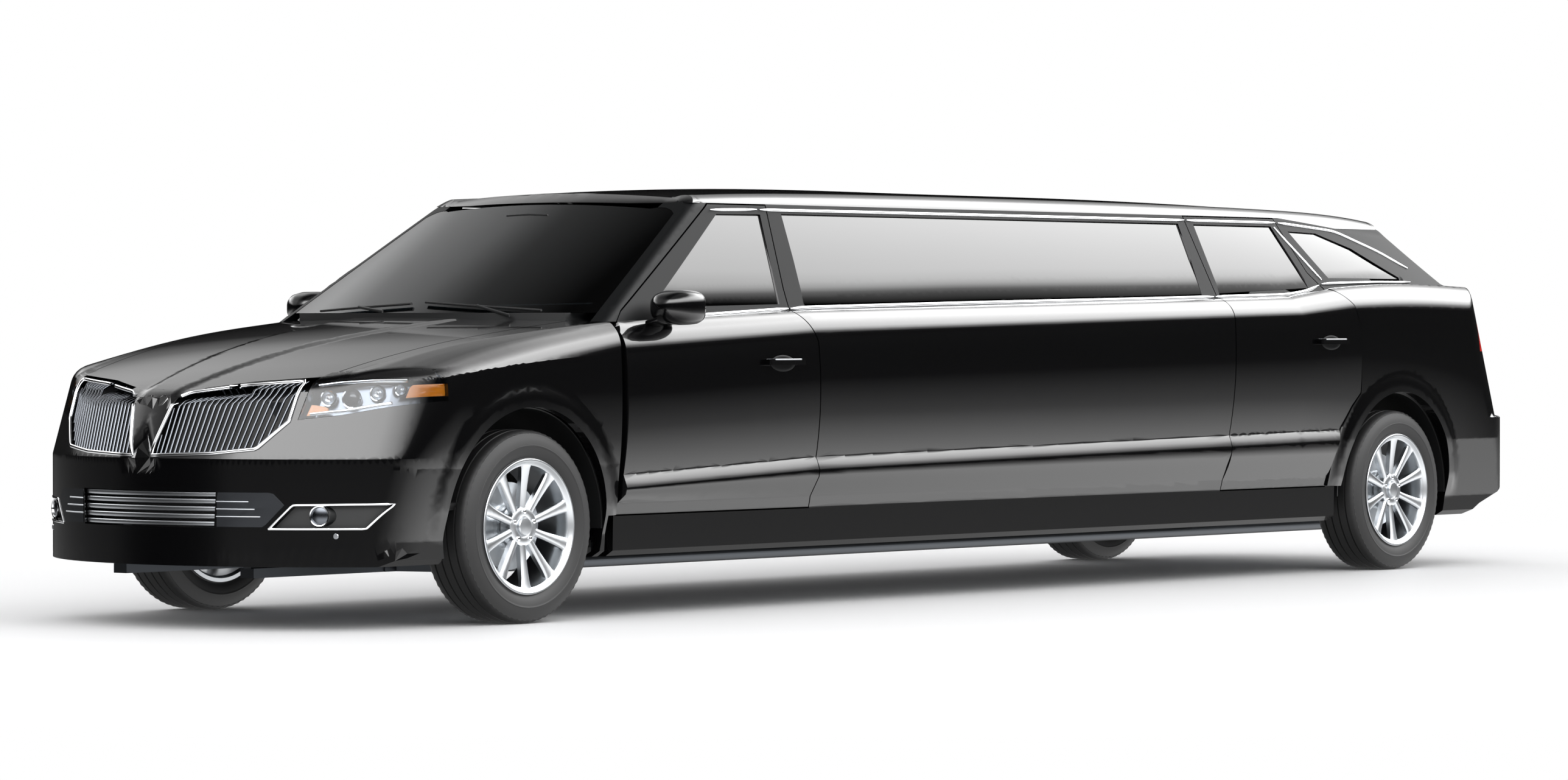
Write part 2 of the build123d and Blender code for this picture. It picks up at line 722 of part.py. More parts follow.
with BuildPart() as fog_lamps:
    add(nose_volume(28))
    add(nose_volume(38), mode=Mode.SUBTRACT)
    add(along_x(FOG_VIEW, 500, 1300, -SEAT), mode=Mode.INTERSECT)
    with BuildSketch(Plane.YZ.offset(ax(850))):
        with Locations((706, 430), (-706, 430)):
            Circle(38)
    extrude(amount=44)
keep(fog_lamps.part, "fog_lamps")

# Wheels, turned out for the left side and mirrored for the right.
SPOKES = 10
LUGS = 5
LUG_CIRCLE_R = 114.3 / 2
LUG_HOLE_R = 7.0
BORE_R = 32.0
PIN_R = BORE_R - 0.05
SEAT_R = 245.7
with BuildPart() as tyre:
    with BuildSketch() as half:
        with BuildLine():
            Line((SEAT_R + 0.3, -97), (262, -103))
            ThreePointArc((262, -103), (308, -118.5), (348, -107))
            ThreePointArc((348, -107), (362, -100), (368, -84))
            ThreePointArc((368, -84), (TYRE_R, 0), (368, 84))
            ThreePointArc((368, 84), (362, 100), (348, 107))
            ThreePointArc((348, 107), (308, 118.5), (262, 103))
            Line((262, 103), (SEAT_R + 0.3, 97))
            Line((SEAT_R + 0.3, 97), (SEAT_R + 0.3, -97))
        make_face()
    revolve(axis=Axis.Y)
with BuildPart() as rim:
    with BuildSketch(Plane.XZ) as star:
        with PolarLocations(0, SPOKES):
            with BuildLine():
                Polyline((40, -17), (238, -27), (238, 27), (40, 17), close=True)
            make_face()
    extrude(amount=200, both=True)
    with BuildSketch():
        Polygon((36, 52), (240, 66), (240, 103), (150, 88), (36, 78), align=None)
    revolve(axis=Axis.Y, mode=Mode.INTERSECT)
    with BuildSketch():
        Polygon(
            (234, -112), (260, -112), (260, -104.5), (SEAT_R, -103.5), (SEAT_R, 103.5), (260, 104.5),
            (260, 112), (240, 112), (234, 100), align=None,
        )
    revolve(axis=Axis.Y)
    with BuildSketch():
        Polygon(
            (BORE_R, 22), (76, 22), (82, 60), (74, 84), (36, 86), (33, 92),
            (0, 95), (0, 66), (BORE_R, 66), align=None,
        )
    revolve(axis=Axis.Y)
    with BuildSketch():
        Polygon(
            (BORE_R, 22.5), (90, 22.5), (90, 6), (168, 6), (168, -20),
            (84, -20), (84, 12), (BORE_R, 12), align=None,
        )
    revolve(axis=Axis.Y)
    with BuildSketch(Plane.XZ.offset(-100)):
        with PolarLocations(LUG_CIRCLE_R, LUGS, start_angle=90):
            Circle(LUG_HOLE_R)
    extrude(amount=90, mode=Mode.SUBTRACT)
WHEELS = (
    ("front_left", X_FRONT, TRACK_HALF), ("front_right", X_FRONT, -TRACK_HALF),
    ("rear_left", X_REAR, TRACK_HALF), ("rear_right", X_REAR, -TRACK_HALF),
)
for name, x, y in WHEELS:
    for piece, kind in ((tyre, "tyre_"), (rim, "rim_")):
        with BuildPart() as placed:
            with Locations((x, y, AXLE_Z)):
                add(piece.part if y > 0 else mirror(piece.part, about=Plane.XZ, mode=Mode.PRIVATE))
        keep(placed.part, kind + name)
print("wheels done")

# Knuckles with brake calipers: the front pair steers about an upright pin.
KINGPIN_Y = 716.0
KINGPIN_R = 14.0
HUB_PLANE = Plane.XZ.offset(-KINGPIN_Y)
with BuildPart() as knuckle:
    with BuildSketch(HUB_PLANE):
        with Locations((X_FRONT, AXLE_Z)):
            Circle(62)
            Rectangle(70, 300)
    extrude(amount=34, both=True)
    with BuildSketch(HUB_PLANE):
        with Locations((X_FRONT, AXLE_Z)):
            Circle(PIN_R)
    extrude(amount=-(TRACK_HALF + 60 - KINGPIN_Y))
    with BuildSketch(Plane.XY.offset(AXLE_Z - 70)):
        with Locations((X_FRONT + 128, 775)):
            Rectangle(66, 44)
        with Locations((X_FRONT + 86, 730)):
            Rectangle(150, 60)
    extrude(amount=140)
    with BuildSketch(Plane.XY.offset(AXLE_Z - 200)):
        with Locations((X_FRONT, KINGPIN_Y)):
            Circle(KINGPIN_R)
    extrude(amount=110, mode=Mode.SUBTRACT)
keep_pair(knuckle.part, "knuckle")

FLOOR_Z = 268.0
FLOOR_TOP = 296.0
RAIL_Z = FLOOR_Z - 42
REAR_FLOOR_Z = 532.0
ARM_Y = 340.0
with BuildPart() as front_suspension:
    with BuildSketch(Plane.XY.offset(190)):
        with Locations((X_FRONT, 0)):
            Rectangle(420, 760)
            Rectangle(200, 460, mode=Mode.SUBTRACT)
        for s in (1, -1):
            with BuildLine():
                Polyline(
                    (X_FRONT - 170, s * 370), (X_FRONT + 150, s * 370), (X_FRONT + 42, s * 716),
                    (X_FRONT - 42, s * 716), close=True,
                )
            make_face()
            with Locations((X_FRONT, s * KINGPIN_Y)):
                Circle(42)
    extrude(amount=26)
    with BuildSketch(Plane.XY.offset(190)):
        with Locations((X_FRONT - 10, ARM_Y), (X_FRONT - 10, -ARM_Y)):
            Rectangle(1860, 70)
    extrude(amount=RAIL_Z - 190)
    with BuildSketch(Plane.XY.offset(200)):
        with Locations((X_FRONT, KINGPIN_Y), (X_FRONT, -KINGPIN_Y)):
            Circle(KINGPIN_R - 0.05)
    extrude(amount=60)
    for s in (1, -1):
        with BuildSketch(Plane((X_FRONT - 96, s * 620, 205), z_dir=(0, -s * 0.12, 1))):
            Circle(24)
        extrude(amount=575)
        with BuildSketch(Plane((X_FRONT - 96, s * 594, 420), z_dir=(0, -s * 0.12, 1))):
            Circle(56)
        extrude(amount=330)
keep(front_suspension.part, "front_suspension")

REAR_PIN_Y = TRACK_HALF + 60
with BuildPart() as rear_suspension:
    with BuildSketch(Plane.XZ.offset(-REAR_PIN_Y)):
        with Locations((X_REAR, AXLE_Z)):
            Circle(PIN_R)
    extrude(amount=180)
    with BuildSketch(Plane.XZ.offset(-770)):
        with Locations((X_REAR, AXLE_Z)):
            Circle(70)
            Rectangle(80, 260)
    extrude(amount=60)
    with BuildSketch(Plane.XY.offset(AXLE_Z - 100)):
        with Locations((X_REAR, 470)):
            Rectangle(70, 560)
        with Locations((X_REAR + 240, 640)):
            Rectangle(520, 54)
    extrude(amount=46)
    with BuildSketch(Plane.XY.offset(AXLE_Z - 60)):
        with Locations((X_REAR, 550)):
            Circle(58)
    extrude(amount=360)
    mirror(about=Plane.XZ)
    with BuildSketch(Plane.XY.offset(AXLE_Z - 130)):
        with Locations((X_REAR, 0)):
            Rectangle(480, 620)
    extrude(amount=120)
    with BuildSketch(Plane.XY.offset(AXLE_Z - 20)):
        with Locations(*[(X_REAR + x, y) for x in (-200, 200) for y in (-280, 280)]):
            Circle(25)
    extrude(amount=REAR_FLOOR_Z - AXLE_Z + 20)
keep(rear_suspension.part, "rear_suspension")

LINER = 5.0
with BuildPart() as wheel_liners:
    for x in (X_FRONT, X_REAR):
        with BuildSketch(Plane((x, WELL_INNER - 8, AXLE_Z), x_dir=(1, 0, 0), z_dir=(0, 1, 0))):
            Circle(ARCH_R - SEAT)
            Circle(ARCH_R - SEAT - LINER, mode=Mode.SUBTRACT)
            with Locations((0, 300)):
                Rectangle(1200, 560, mode=Mode.SUBTRACT)
        extrude(amount=435)
        with BuildSketch(Plane((x, WELL_INNER - 8, AXLE_Z), x_dir=(1, 0, 0), z_dir=(0, 1, 0))):
            Circle(ARCH_R - SEAT)
            with Locations((0, 300)):
                Rectangle(1200, 560, mode=Mode.SUBTRACT)
            with Locations((0, -40)):
                Rectangle(330, 1000, mode=Mode.SUBTRACT)
        extrude(amount=LINER)
    mirror(about=Plane.XZ)
keep(wheel_liners.part, "wheel_liners")

# Floor with its sills, cross members and tunnel, raised over the rear wheels.
with BuildPart() as floor_pan:
    with BuildSketch(Plane.XZ):
        with BuildLine():
            Polyline(
                (ax(-590) - SEAT, FLOOR_Z), (ax(-590) - SEAT, FLOOR_TOP), (ax(-5440), FLOOR_TOP),
                (ax(-5500), 560), (ax(-6900), 560), (ax(-6900), REAR_FLOOR_Z), (ax(-5528), REAR_FLOOR_Z),
                (ax(-5468), FLOOR_Z), close=True,
            )
        make_face()
    extrude(amount=868 - DOOR_WALL + SEAT, both=True)
    add(arch_cutter(ARCH_R + 6, WELL_INNER - 14), mode=Mode.SUBTRACT)
    with BuildSketch(Plane.XY.offset(RAIL_Z)):
        for y in (-520, 520):
            with Locations((ax(-2960), y)):
                Rectangle(4700, 90)
        with Locations(*[(ax(-900 - 860 * i), 0) for i in range(6)]):
            Rectangle(90, 1040)
    extrude(amount=43)
keep(floor_pan.part, "floor_pan")
with BuildPart() as engine:
    with BuildSketch(Plane.XY.offset(330)):
        with Locations((ax(120), 0)):
            RectangleRounded(620, 640, 60)
    extrude(amount=560)
    chamfer(engine.edges().group_by(Axis.Z)[-1], 40)
    with BuildSketch(Plane.XY.offset(216)):
        with Locations(*[(X_FRONT + x, y) for x in (-150, 150) for y in (-265, 265)]):
            Circle(24)
    extrude(amount=116)
    with BuildSketch(Plane.YZ.offset(ax(880))):
        with Locations((0, 640)):
            Rectangle(1000, 420)
        with Locations((ARM_Y, (RAIL_Z + 440) / 2), (-ARM_Y, (RAIL_Z + 440) / 2)):
            Rectangle(40, 440 - RAIL_Z)
    extrude(amount=40)
keep(engine.part, "engine")
with BuildPart() as exhaust:
    with BuildSketch(Plane.YZ.offset(ax(-600))):
        with Locations((180, 186)):
            Circle(32)
    extrude(amount=-6030)
    with BuildSketch(Plane.XY.offset(160)):
        with Locations((ax(-6598), 180)):
            Circle(32)
    extrude(amount=130)
    with BuildSketch(Plane.XY.offset(200)):
        with Locations(*[(ax(-900 - 860 * i), 180) for i in range(6)]):
            Rectangle(40, 26)
    extrude(amount=RAIL_Z - 200)
    with BuildSketch(Plane.YZ.offset(ax(-6560))):
        with Locations((560, 300), (-560, 300)):
            Circle(38)
    extrude(amount=-480)
    with BuildSketch(Plane.XY.offset(280)):
        with Locations((ax(-6680), 0)):
            RectangleRounded(260, 1240, 60)
    extrude(amount=150)
    with BuildSketch(Plane.XY.offset(420)):
        with Locations((ax(-6680), 500), (ax(-6680), -500)):
            Rectangle(24, 24)
    extrude(amount=REAR_FLOOR_Z - 420)
keep(exhaust.part, "exhaust")

# Cabin.
with BuildPart() as dashboard:
    with BuildSketch(Plane.XZ):
        with BuildLine():
            Polyline(
                (ax(-650), 620), (ax(-650), 1108), (ax(-760), 1112), (ax(-990), 1072),
                (ax(-1010), 960), (ax(-860), 620), close=True,
            )
        make_face()
    extrude(amount=760, both=True)
    with BuildSketch(Plane.XY.offset(FLOOR_TOP + SEAT)):
        with Locations((ax(-1180), 0)):
            RectangleRounded(760, 220, 40)
    extrude(amount=330)
    with BuildSketch(Plane((ax(-985), 380, 980), z_dir=(-0.93, 0, 0.36))):
        Circle(26)
    extrude(amount=129.5)
keep(dashboard.part, "dashboard")
with BuildPart() as steering_wheel:
    with Locations(Plane((ax(-1122), 380, 1033), z_dir=(-0.93, 0, 0.36))):
        Torus(182, 15)
        Cylinder(52, 34)
        Box(350, 30, 14)
keep(steering_wheel.part, "steering_wheel")


def seat(x, y, width, back):
    # a plain cushion and a leaning back, facing forward
    with BuildPart() as chair:
        with BuildSketch(Plane.XZ.offset(-y)):
            with BuildLine():
                Polyline(
                    (x + 270, 420), (x + 270, 560), (x - 220, 530), (x - 220 - back * 0.32, 530 + back),
                    (x - 360 - back * 0.32, 530 + back), (x - 370, 420), close=True,
                )
            make_face()
        extrude(amount=width / 2, both=True)
        fillet(chair.edges().filter_by(Axis.Y), 30)
    return chair.part


with BuildPart() as front_seats:
    for y in (380, -380):
        add(seat(ax(-1560), y, 520, 640))
        with Locations((ax(-1580), y, FLOOR_TOP + 62)):
            Box(420, 400, 124 - 2 * SEAT)
        with Locations((ax(-2050), y, 1260 + SEAT)):
            Box(90, 260, 180)
keep(front_seats.part, "front_seats")
with BuildPart() as partition:
    with BuildSketch(Plane.YZ.offset(ax(-2200))):
        with BuildLine():
            Polyline(
                (-690, FLOOR_TOP + SEAT), (690, FLOOR_TOP + SEAT), (690, 900), (640, 1560),
                (-640, 1560), (-690, 900), close=True,
            )
        make_face()
        with Locations((0, 1330)):
            Rectangle(1000, 360, mode=Mode.SUBTRACT)
    extrude(amount=-40)
keep(partition.part, "partition")
with BuildPart() as lounge_seats:
    with BuildSketch(Plane.XZ.offset(-0)):
        with BuildLine():
            Polyline(
                (ax(-5010), FLOOR_TOP + SEAT), (ax(-5010), 620), (ax(-5440), 590), (ax(-5600), 1180),
                (ax(-5740), 1180), (ax(-5640), 590), (ax(-5440), 570),
                (ax(-5400), FLOOR_TOP + SEAT), close=True,
            )
        make_face()
    extrude(amount=700, both=True)
    with BuildSketch(Plane.YZ.offset(ax(-2500))):
        with BuildLine():
            Polyline(
                (-220, FLOOR_TOP + SEAT), (-220, 590), (-600, 570), (-660, 1120),
                (-760, 1120), (-760, FLOOR_TOP + SEAT), close=True,
            )
        make_face()
    extrude(amount=-2440)
keep(lounge_seats.part, "lounge_seats")
with BuildPart() as mirror_pod:
    with BuildSketch(Plane.YZ.offset(ax(-728))):
        with Locations((996, 1200)):
            RectangleRounded(184, 150, 50)
    extrude(amount=-140)
    fillet(mirror_pod.edges().group_by(Axis.X)[-1], 26)
    with BuildSketch(Plane.YZ.offset(ax(-760))):
        with Locations((906, 1150)):
            Rectangle(90, 40)
    extrude(amount=-70)
    add(mid_wall.part, mode=Mode.SUBTRACT)
    add(cabin_wall.part, mode=Mode.SUBTRACT)
keep_pair(mirror_pod.part, "mirror")
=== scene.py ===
import bpy
import bmesh
import math
import numpy as np
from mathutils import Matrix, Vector


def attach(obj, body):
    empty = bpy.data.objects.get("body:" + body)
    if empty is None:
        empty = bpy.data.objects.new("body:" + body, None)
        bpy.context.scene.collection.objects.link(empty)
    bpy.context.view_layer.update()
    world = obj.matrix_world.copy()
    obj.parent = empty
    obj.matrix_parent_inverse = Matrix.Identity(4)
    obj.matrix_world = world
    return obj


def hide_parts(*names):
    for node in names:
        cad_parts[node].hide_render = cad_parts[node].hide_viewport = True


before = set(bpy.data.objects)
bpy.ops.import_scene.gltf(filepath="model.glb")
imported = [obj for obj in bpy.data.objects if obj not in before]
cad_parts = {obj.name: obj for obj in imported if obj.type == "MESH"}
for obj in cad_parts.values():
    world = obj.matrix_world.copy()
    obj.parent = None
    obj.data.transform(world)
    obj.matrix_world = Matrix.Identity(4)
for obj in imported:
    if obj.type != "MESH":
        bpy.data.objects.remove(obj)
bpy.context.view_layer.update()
scene = bpy.context.scene
xFront = 3010.5
wheelBase = 6043.0
tyreRadius = 370.5
sides = (("left", 1), ("right", -1))
flip = np.array([1, -1, 1])


def srgb(text):
    parts = [int(text[i:i + 2], 16) / 255 for i in (1, 3, 5)]
    return tuple(c / 12.92 if c <= 0.04045 else ((c + 0.055) / 1.055) ** 2.4 for c in parts) + (1.0,)


def addNode(tree, kind, links=(), **values):
    node = tree.nodes.new(kind)
    for name, value in values.items():
        key = name.replace("_", " ")
        if key in node.inputs:
            node.inputs[key].default_value = value
        else:
            setattr(node, name, value)
    for socket, source in links:
        tree.links.new(source, node.inputs[socket])
    return node


def newMaterial(name):
    mat = bpy.data.materials.new(name)
    mat.use_nodes = True
    tree = mat.node_tree
    tree.nodes.clear()
    out = tree.nodes.new("ShaderNodeOutputMaterial")
    shader = tree.nodes.new("ShaderNodeBsdfPrincipled")
    tree.links.new(shader.outputs[0], out.inputs[0])
    return mat, tree, shader


def plainMaterial(name, colour, rough, metal=0.0, **more):
    mat, tree, shader = newMaterial(name)
    values = {"Base Color": srgb(colour), "Roughness": rough, "Metallic": metal}
    values.update({key.replace("_", " "): value for key, value in more.items()})
    for key, value in values.items():
        shader.inputs[key].default_value = value
    return mat


def tintMaterial(name, colour, shine):
    # tinted glass: a glossy face over a see-through tint, so nothing refracts twice in a thin pane
    mat = bpy.data.materials.new(name)
    mat.use_nodes = True
    tree = mat.node_tree
    tree.nodes.clear()
    out = tree.nodes.new("ShaderNodeOutputMaterial")
    clear = addNode(tree, "ShaderNodeBsdfTransparent", Color=srgb(colour))
    gloss = addNode(tree, "ShaderNodeBsdfGlossy", Roughness=0.01)
    edge = addNode(tree, "ShaderNodeFresnel", IOR=1.52)
    lift = addNode(tree, "ShaderNodeMath", [(0, edge.outputs[0])], operation="MULTIPLY")
    lift.inputs[1].default_value = shine
    layers = [(0, lift.outputs[0]), (1, clear.outputs[0]), (2, gloss.outputs[0])]
    mix = addNode(tree, "ShaderNodeMixShader", layers)
    tree.links.new(mix.outputs[0], out.inputs[0])
    return mat


# clear-coated gloss black: a dark base under a smooth lacquer that mirrors the room
paint = plainMaterial(
    "black_lacquer_paint", "#050506", 0.22, Specular_IOR_Level=0.08,
    Coat_Weight=1.0, Coat_Roughness=0.015, Coat_IOR=1.5,
)
chrome = plainMaterial("polished_chrome", "#e6e7e9", 0.06, 1.0)  # mirror-bright strips and surrounds
satin = plainMaterial("satin_chrome", "#b9bcc0", 0.28, 1.0)  # bars that shine without glare
alloy = plainMaterial("bright_alloy", "#c6c9cc", 0.3, 1.0)  # bright, slightly soft spokes
darkChrome = plainMaterial("dark_satin_chrome", "#66696e", 0.2, 1.0)  # grey bars inside a bright edge
rubber = plainMaterial("tyre_rubber", "#0b0b0c", 0.62)  # matt walls and tread
plastic = plainMaterial("grained_black_plastic", "#0c0d0e", 0.5)  # dull black liners and arms
seal = plainMaterial("black_seal_rubber", "#060607", 0.55)  # deep black behind the openings
steel = plainMaterial("dull_steel", "#4c4f53", 0.42, 1.0)  # grey running gear
iron = plainMaterial("cast_iron_block", "#37393c", 0.7, 0.6)  # rough grey casting
underseal = plainMaterial("underseal", "#101112", 0.8)  # flat black floor
leather = plainMaterial("dark_leather", "#151415", 0.48)  # a low sheen on the seats
sideGlass = tintMaterial("tinted_side_glass", "#14181c", 1.3)  # dark tint that hides most of the cabin
screenGlass = tintMaterial("windscreen_glass", "#7a8388", 0.9)  # light tint that lets the dashboard show
lensGlass = tintMaterial("clear_lamp_lens", "#f4f7fa", 1.0)  # clear, over the lamp's inside
redLens = plainMaterial("red_lamp_lens", "#d0271f", 0.2, Specular_IOR_Level=0.3)  # solid red
amberLens = plainMaterial("amber_lamp_lens", "#ee9020", 0.15)  # solid amber
reflector = plainMaterial("lamp_reflector", "#5a5d62", 0.2, 1.0)  # grey mirror behind a lens
satinFilmAndCupShade = plainMaterial("satin_black_film_and_cup_shade", "#050607", 0.5, Specular_IOR_Level=0.12)  # dull pillars, and the painted shade of the dish behind each door handle
mirrorGlass = plainMaterial("mirror_silver", "#c9ced2", 0.02, 1.0)  # a plain mirror
darkGlass = plainMaterial("dark_projector_glass", "#14171b", 0.03)  # a dark glossy dome
print("materials done")


def spline(xs, ys, x):
    # natural cubic through the stations, the same bend that a smooth loft takes
    xs = np.asarray(xs, float)
    ys = np.asarray(ys, float)
    order = np.argsort(xs)
    xs, ys = xs[order], ys[order]
    n = len(xs)
    h = np.diff(xs)
    a = np.zeros((n, n))
    b = np.zeros(n)
    a[0, 0] = a[-1, -1] = 1
    for i in range(1, n - 1):
        a[i, i - 1], a[i, i], a[i, i + 1] = h[i - 1], 2 * (h[i - 1] + h[i]), h[i]
        b[i] = 6 * ((ys[i + 1] - ys[i]) / h[i] - (ys[i] - ys[i - 1]) / h[i - 1])
    m = np.linalg.solve(a, b)
    i = np.clip(np.searchsorted(xs, x) - 1, 0, n - 2)
    t = x - xs[i]
    slope = (ys[i + 1] - ys[i]) / h[i] - h[i] * (2 * m[i] + m[i + 1]) / 6
    return ys[i] + slope * t + m[i] / 2 * t ** 2 + (m[i + 1] - m[i]) / (6 * h[i]) * t ** 3


def circle(p, q, r):
    # centre and radius through three points, each a pair of arrays
    ax, ay = p
    bx, by = q
    cx, cy = r
    d = 2 * (ax * (by - cy) + bx * (cy - ay) + cx * (ay - by))
    a2, b2, c2 = ax * ax + ay * ay, bx * bx + by * by, cx * cx + cy * cy
    ux = (a2 * (by - cy) + b2 * (cy - ay) + c2 * (ay - by)) / d
    uy = (a2 * (cx - bx) + b2 * (ax - cx) + c2 * (bx - ax)) / d
    return ux, uy, np.hypot(ax - ux, ay - uy)


def smoothMax(a, b, k):
    h = np.clip(0.5 + 0.5 * (a - b) / k, 0, 1)
    return b + (a - b) * h + k * h * (1 - h)


def ease(t):
    t = np.clip(t, 0, 1)
    return t * t * (3 - 2 * t)


body = {  # in mm, with places along the car counted from the front axle
    # place, fullest half width, crease height, belt half width, belt height, crown height
    "front": [
        (1250, 963, 800, 700, 815, 806), (800, 965, 900, 722, 946, 962), (400, 965, 955, 772, 1038, 1062),
        (-40, 965, 1000, 832, 1104, 1130), (-520, 965, 1026, 884, 1150, 1184),
    ],
    # the same, with the moulding's height last
    "mid": [
        (-520, 965, 1026, 884, 1150, 548), (-1724, 965, 1090, 882, 1200, 596),
        (-5228, 965, 1170, 878, 1266, 645), (-5760, 963, 1212, 872, 1322, 652),
    ],
    "rear": [
        (-5470, 964, 1196, 874, 1300, 1310), (-6100, 958, 1212, 862, 1327, 1337),
        (-6700, 944, 1205, 846, 1318, 1328), (-7300, 922, 1190, 826, 1296, 1306),
    ],
    # place, belt half width, belt height, rail half width, rail height, crown height
    "cabin": [
        (-150, 905, 1100, 742, 1520, 1600), (-1250, 884, 1172, 712, 1606, 1676),
        (-2100, 882, 1208, 705, 1623, 1709), (-3200, 880, 1228, 703, 1626, 1711),
        (-4300, 878, 1247, 701, 1622, 1709), (-5400, 874, 1270, 695, 1610, 1694),
        (-6300, 850, 1320, 652, 1570, 1652), (-7200, 806, 1290, 590, 1430, 1540),
    ],
    "sill": [(200, 862), (240, 868), (262, 903), (402, 906), (446, 914)],  # height, half width
    "sillEnds": [(200, 862), (240, 868), (262, 903), (330, 907), (600, 944)],
    "moulding": (48, 56, 43, 16),  # drop below its line, height of its return, rise, fall
    "creaseRound": 3.0,
    "noseRound": 46.0,
    "noseTip": 1150,
    "noseLean": (640, 96, 270),  # height where it starts, run, rise
    "noseArc": 1179.9,
    "noseCorner": ((331.5, 820.0), (489.0, 928.0), (676.0, 966.0)),  # set back, half width
    "tailRound": 12.0,
    "tailEnd": (-7171.0, -7125),  # below and above the bumper's top
    "tailLean": (700, 150, 410),
    "tailCorner": ((14.0, 600.0), (122.0, 857.0), (370.0, 964.0)),
    "flare": 13.0,
    "flareReach": 92.0,
    "flareFoot": (320, 130),  # height where it starts, height it takes to grow
    "arch": 456.0,
    "spine": (330.0, 70.0, 8.0),  # half width at the screen and at the nose, rise
    "hatchRound": 26.0,
    "pillarRound": 18.0,
    "screenPlace": (-300, 1165, 180, (-830, 475)),  # place and height of the foot, bow, rake
    "hatchPlace": (-6905, 1234, -120, (549, 402)),
    "screenHalf": 800.0,
}


def stationRow(zone, rel):
    table = np.array(body[zone], float)
    if zone == "mid":
        order = np.argsort(table[:, 0])
        return [np.interp(rel, table[order, 0], table[order, k]) for k in range(1, 6)]
    return [spline(table[:, 0], table[:, k], rel) for k in range(1, 6)]


def lowerField(zone, x, y, z):
    # how far a point stands outside the lower body's section, in mm
    rel = x - xFront
    yMax, zCrease, yBelt, zBelt, last = stationRow(zone, rel)
    y = np.abs(y)
    one = np.ones_like(y)
    if zone == "mid":
        foot = (941 * one, last + 8)
        zTop = zBelt + 10
        drop, back, rise, fall = body["moulding"]
        sillTop, sillHalf = body["sill"][-1]
        base = np.interp(z, *zip(*body["sill"]))
        climb = np.clip((z - sillTop) / (last - drop - sillTop), 0, 1)
        base = np.where(z > sillTop, sillHalf + rise * np.sin(climb * math.pi / 2), base)
        turn = np.clip((z - (last - drop)) / back, 0, 1)
        base = np.where(z > last - drop, sillHalf + rise - fall * turn ** 1.35, base)
    else:
        foot = (944 * one, 600 * one)
        zTop = last
        base = np.interp(z, *zip(*body["sillEnds"]))
    full = (yMax, foot[1] + 0.68 * (zCrease - foot[1]))
    crease = (yMax - 9, zCrease)
    belt = (yBelt, zBelt)
    bulge = ((crease[0] + belt[0]) / 2 + 15, (crease[1] + belt[1]) / 2 + 13)
    c1 = circle(foot, full, crease)
    c2 = circle(crease, bulge, belt)
    c3 = circle(belt, (0 * one, zTop), (-yBelt, zBelt))
    fSide = np.hypot(y - c1[0], z - c1[1]) - c1[2]
    fSide = np.where(z < foot[1], y - base, fSide)
    if zone != "mid":
        axle = xFront if zone == "front" else xFront - wheelBase
        reach = np.hypot(x - axle, z - tyreRadius)
        width = body["flareReach"]
        lift = body["flare"] * ease((body["arch"] + width - reach) / (width - 34))
        start, grow = body["flareFoot"]
        fSide = fSide - lift * ease((z - start) / grow)
    fShoulder = np.hypot(y - c2[0], z - c2[1]) - c2[2]
    fCrown = np.hypot(y - c3[0], z - c3[1]) - c3[2]
    if zone == "front":
        half = np.interp(rel, [-520, body["noseTip"]], body["spine"][:2])
        fCrown = fCrown - body["spine"][2] * ease((half + 24 - y) / 48) * ease((1120 - rel) / 160)
    soft = body["creaseRound"]
    up = ease((z - zCrease + soft) / (2 * soft))
    f = fSide + (fShoulder - fSide) * up
    edge = 25.0 if zone == "front" else 10.0
    over = ease((yBelt + edge - y) / (2 * edge)) * ease((z - zCrease + 20) / 40)
    return f + (fCrown - f) * over


def planField(apex, x, y):
    # the nose's plan: broad arc, round corner, straight side
    y = np.abs(y)
    arc = body["noseArc"]
    corner = body["noseCorner"]
    f1 = np.hypot(x - (apex - arc), y) - arc
    c = circle(*[(apex - back, half) for back, half in corner])
    f2 = np.hypot(x - c[0], y - c[1]) - c[2]
    return np.where(y < corner[0][1], f1, np.where(x > c[0], f2, y - corner[-1][1]))


def noseField(x, y, z):
    start, run, rise = body["noseLean"]
    lean = np.clip(z - start, 0, None) * run / rise
    return planField(xFront + body["noseTip"] - lean, x, y)


def tailField(x, y, z):
    y = np.abs(y)
    low, high = body["tailEnd"]
    start, run, rise = body["tailLean"]
    corner = body["tailCorner"]
    bow, flatHalf = corner[0]
    end = np.where(z < start, low, high + (z - start) * run / rise) + xFront
    f1 = end - x + bow * np.clip(y / flatHalf, 0, 1) ** 2
    c = circle(*corner)
    f2 = np.hypot(x - end - c[0], y - c[1]) - c[2]
    return np.where(y < flatHalf, f1, np.where(x < end + c[0], f2, y - corner[-1][1]))


def cabinField(x, y, z):
    rel = x - xFront
    yBelt, zBelt, yRail, zRail, zCrown = stationRow("cabin", rel)
    y = np.abs(y)
    fx, fz = yBelt + 24, zBelt - 60
    dx, dz = yRail - fx, zRail - fz
    length = np.hypot(dx, dz)
    fSide = ((y - fx) * dz - (z - fz) * dx) / length
    top = (yRail - 120, zRail + 0.62 * (zCrown - zRail))
    c1 = circle((yRail, zRail), (yRail - 26, zRail + 34), top)
    c2 = circle(top, (0 * y, zCrown), (-top[0], top[1]))
    fTurn = np.hypot(y - c1[0], z - c1[1]) - c1[2]
    fCrown = np.hypot(y - c2[0], z - c2[1]) - c2[2]
    up = ease((z - zRail + 30) / 60)
    f = fSide + (fTurn - fSide) * up
    over = ease((top[0] + 30 - y) / 60) * up
    return f + (fCrown - f) * over


def slantField(apex, z0, bow, lean, x, y, z):
    # a bowed screen swept along its rake
    shift = (z - z0) * lean[0] / lean[1]
    r = (body["screenHalf"] ** 2 + bow ** 2) / (2 * abs(bow))
    s = 1.0 if bow > 0 else -1.0
    flat = np.hypot(np.maximum(s * (x - shift - xFront - apex) + r, 0), y) - r
    return flat * lean[1] / math.hypot(*lean)


def screenField(x, y, z):
    return slantField(*body["screenPlace"], x, y, z)


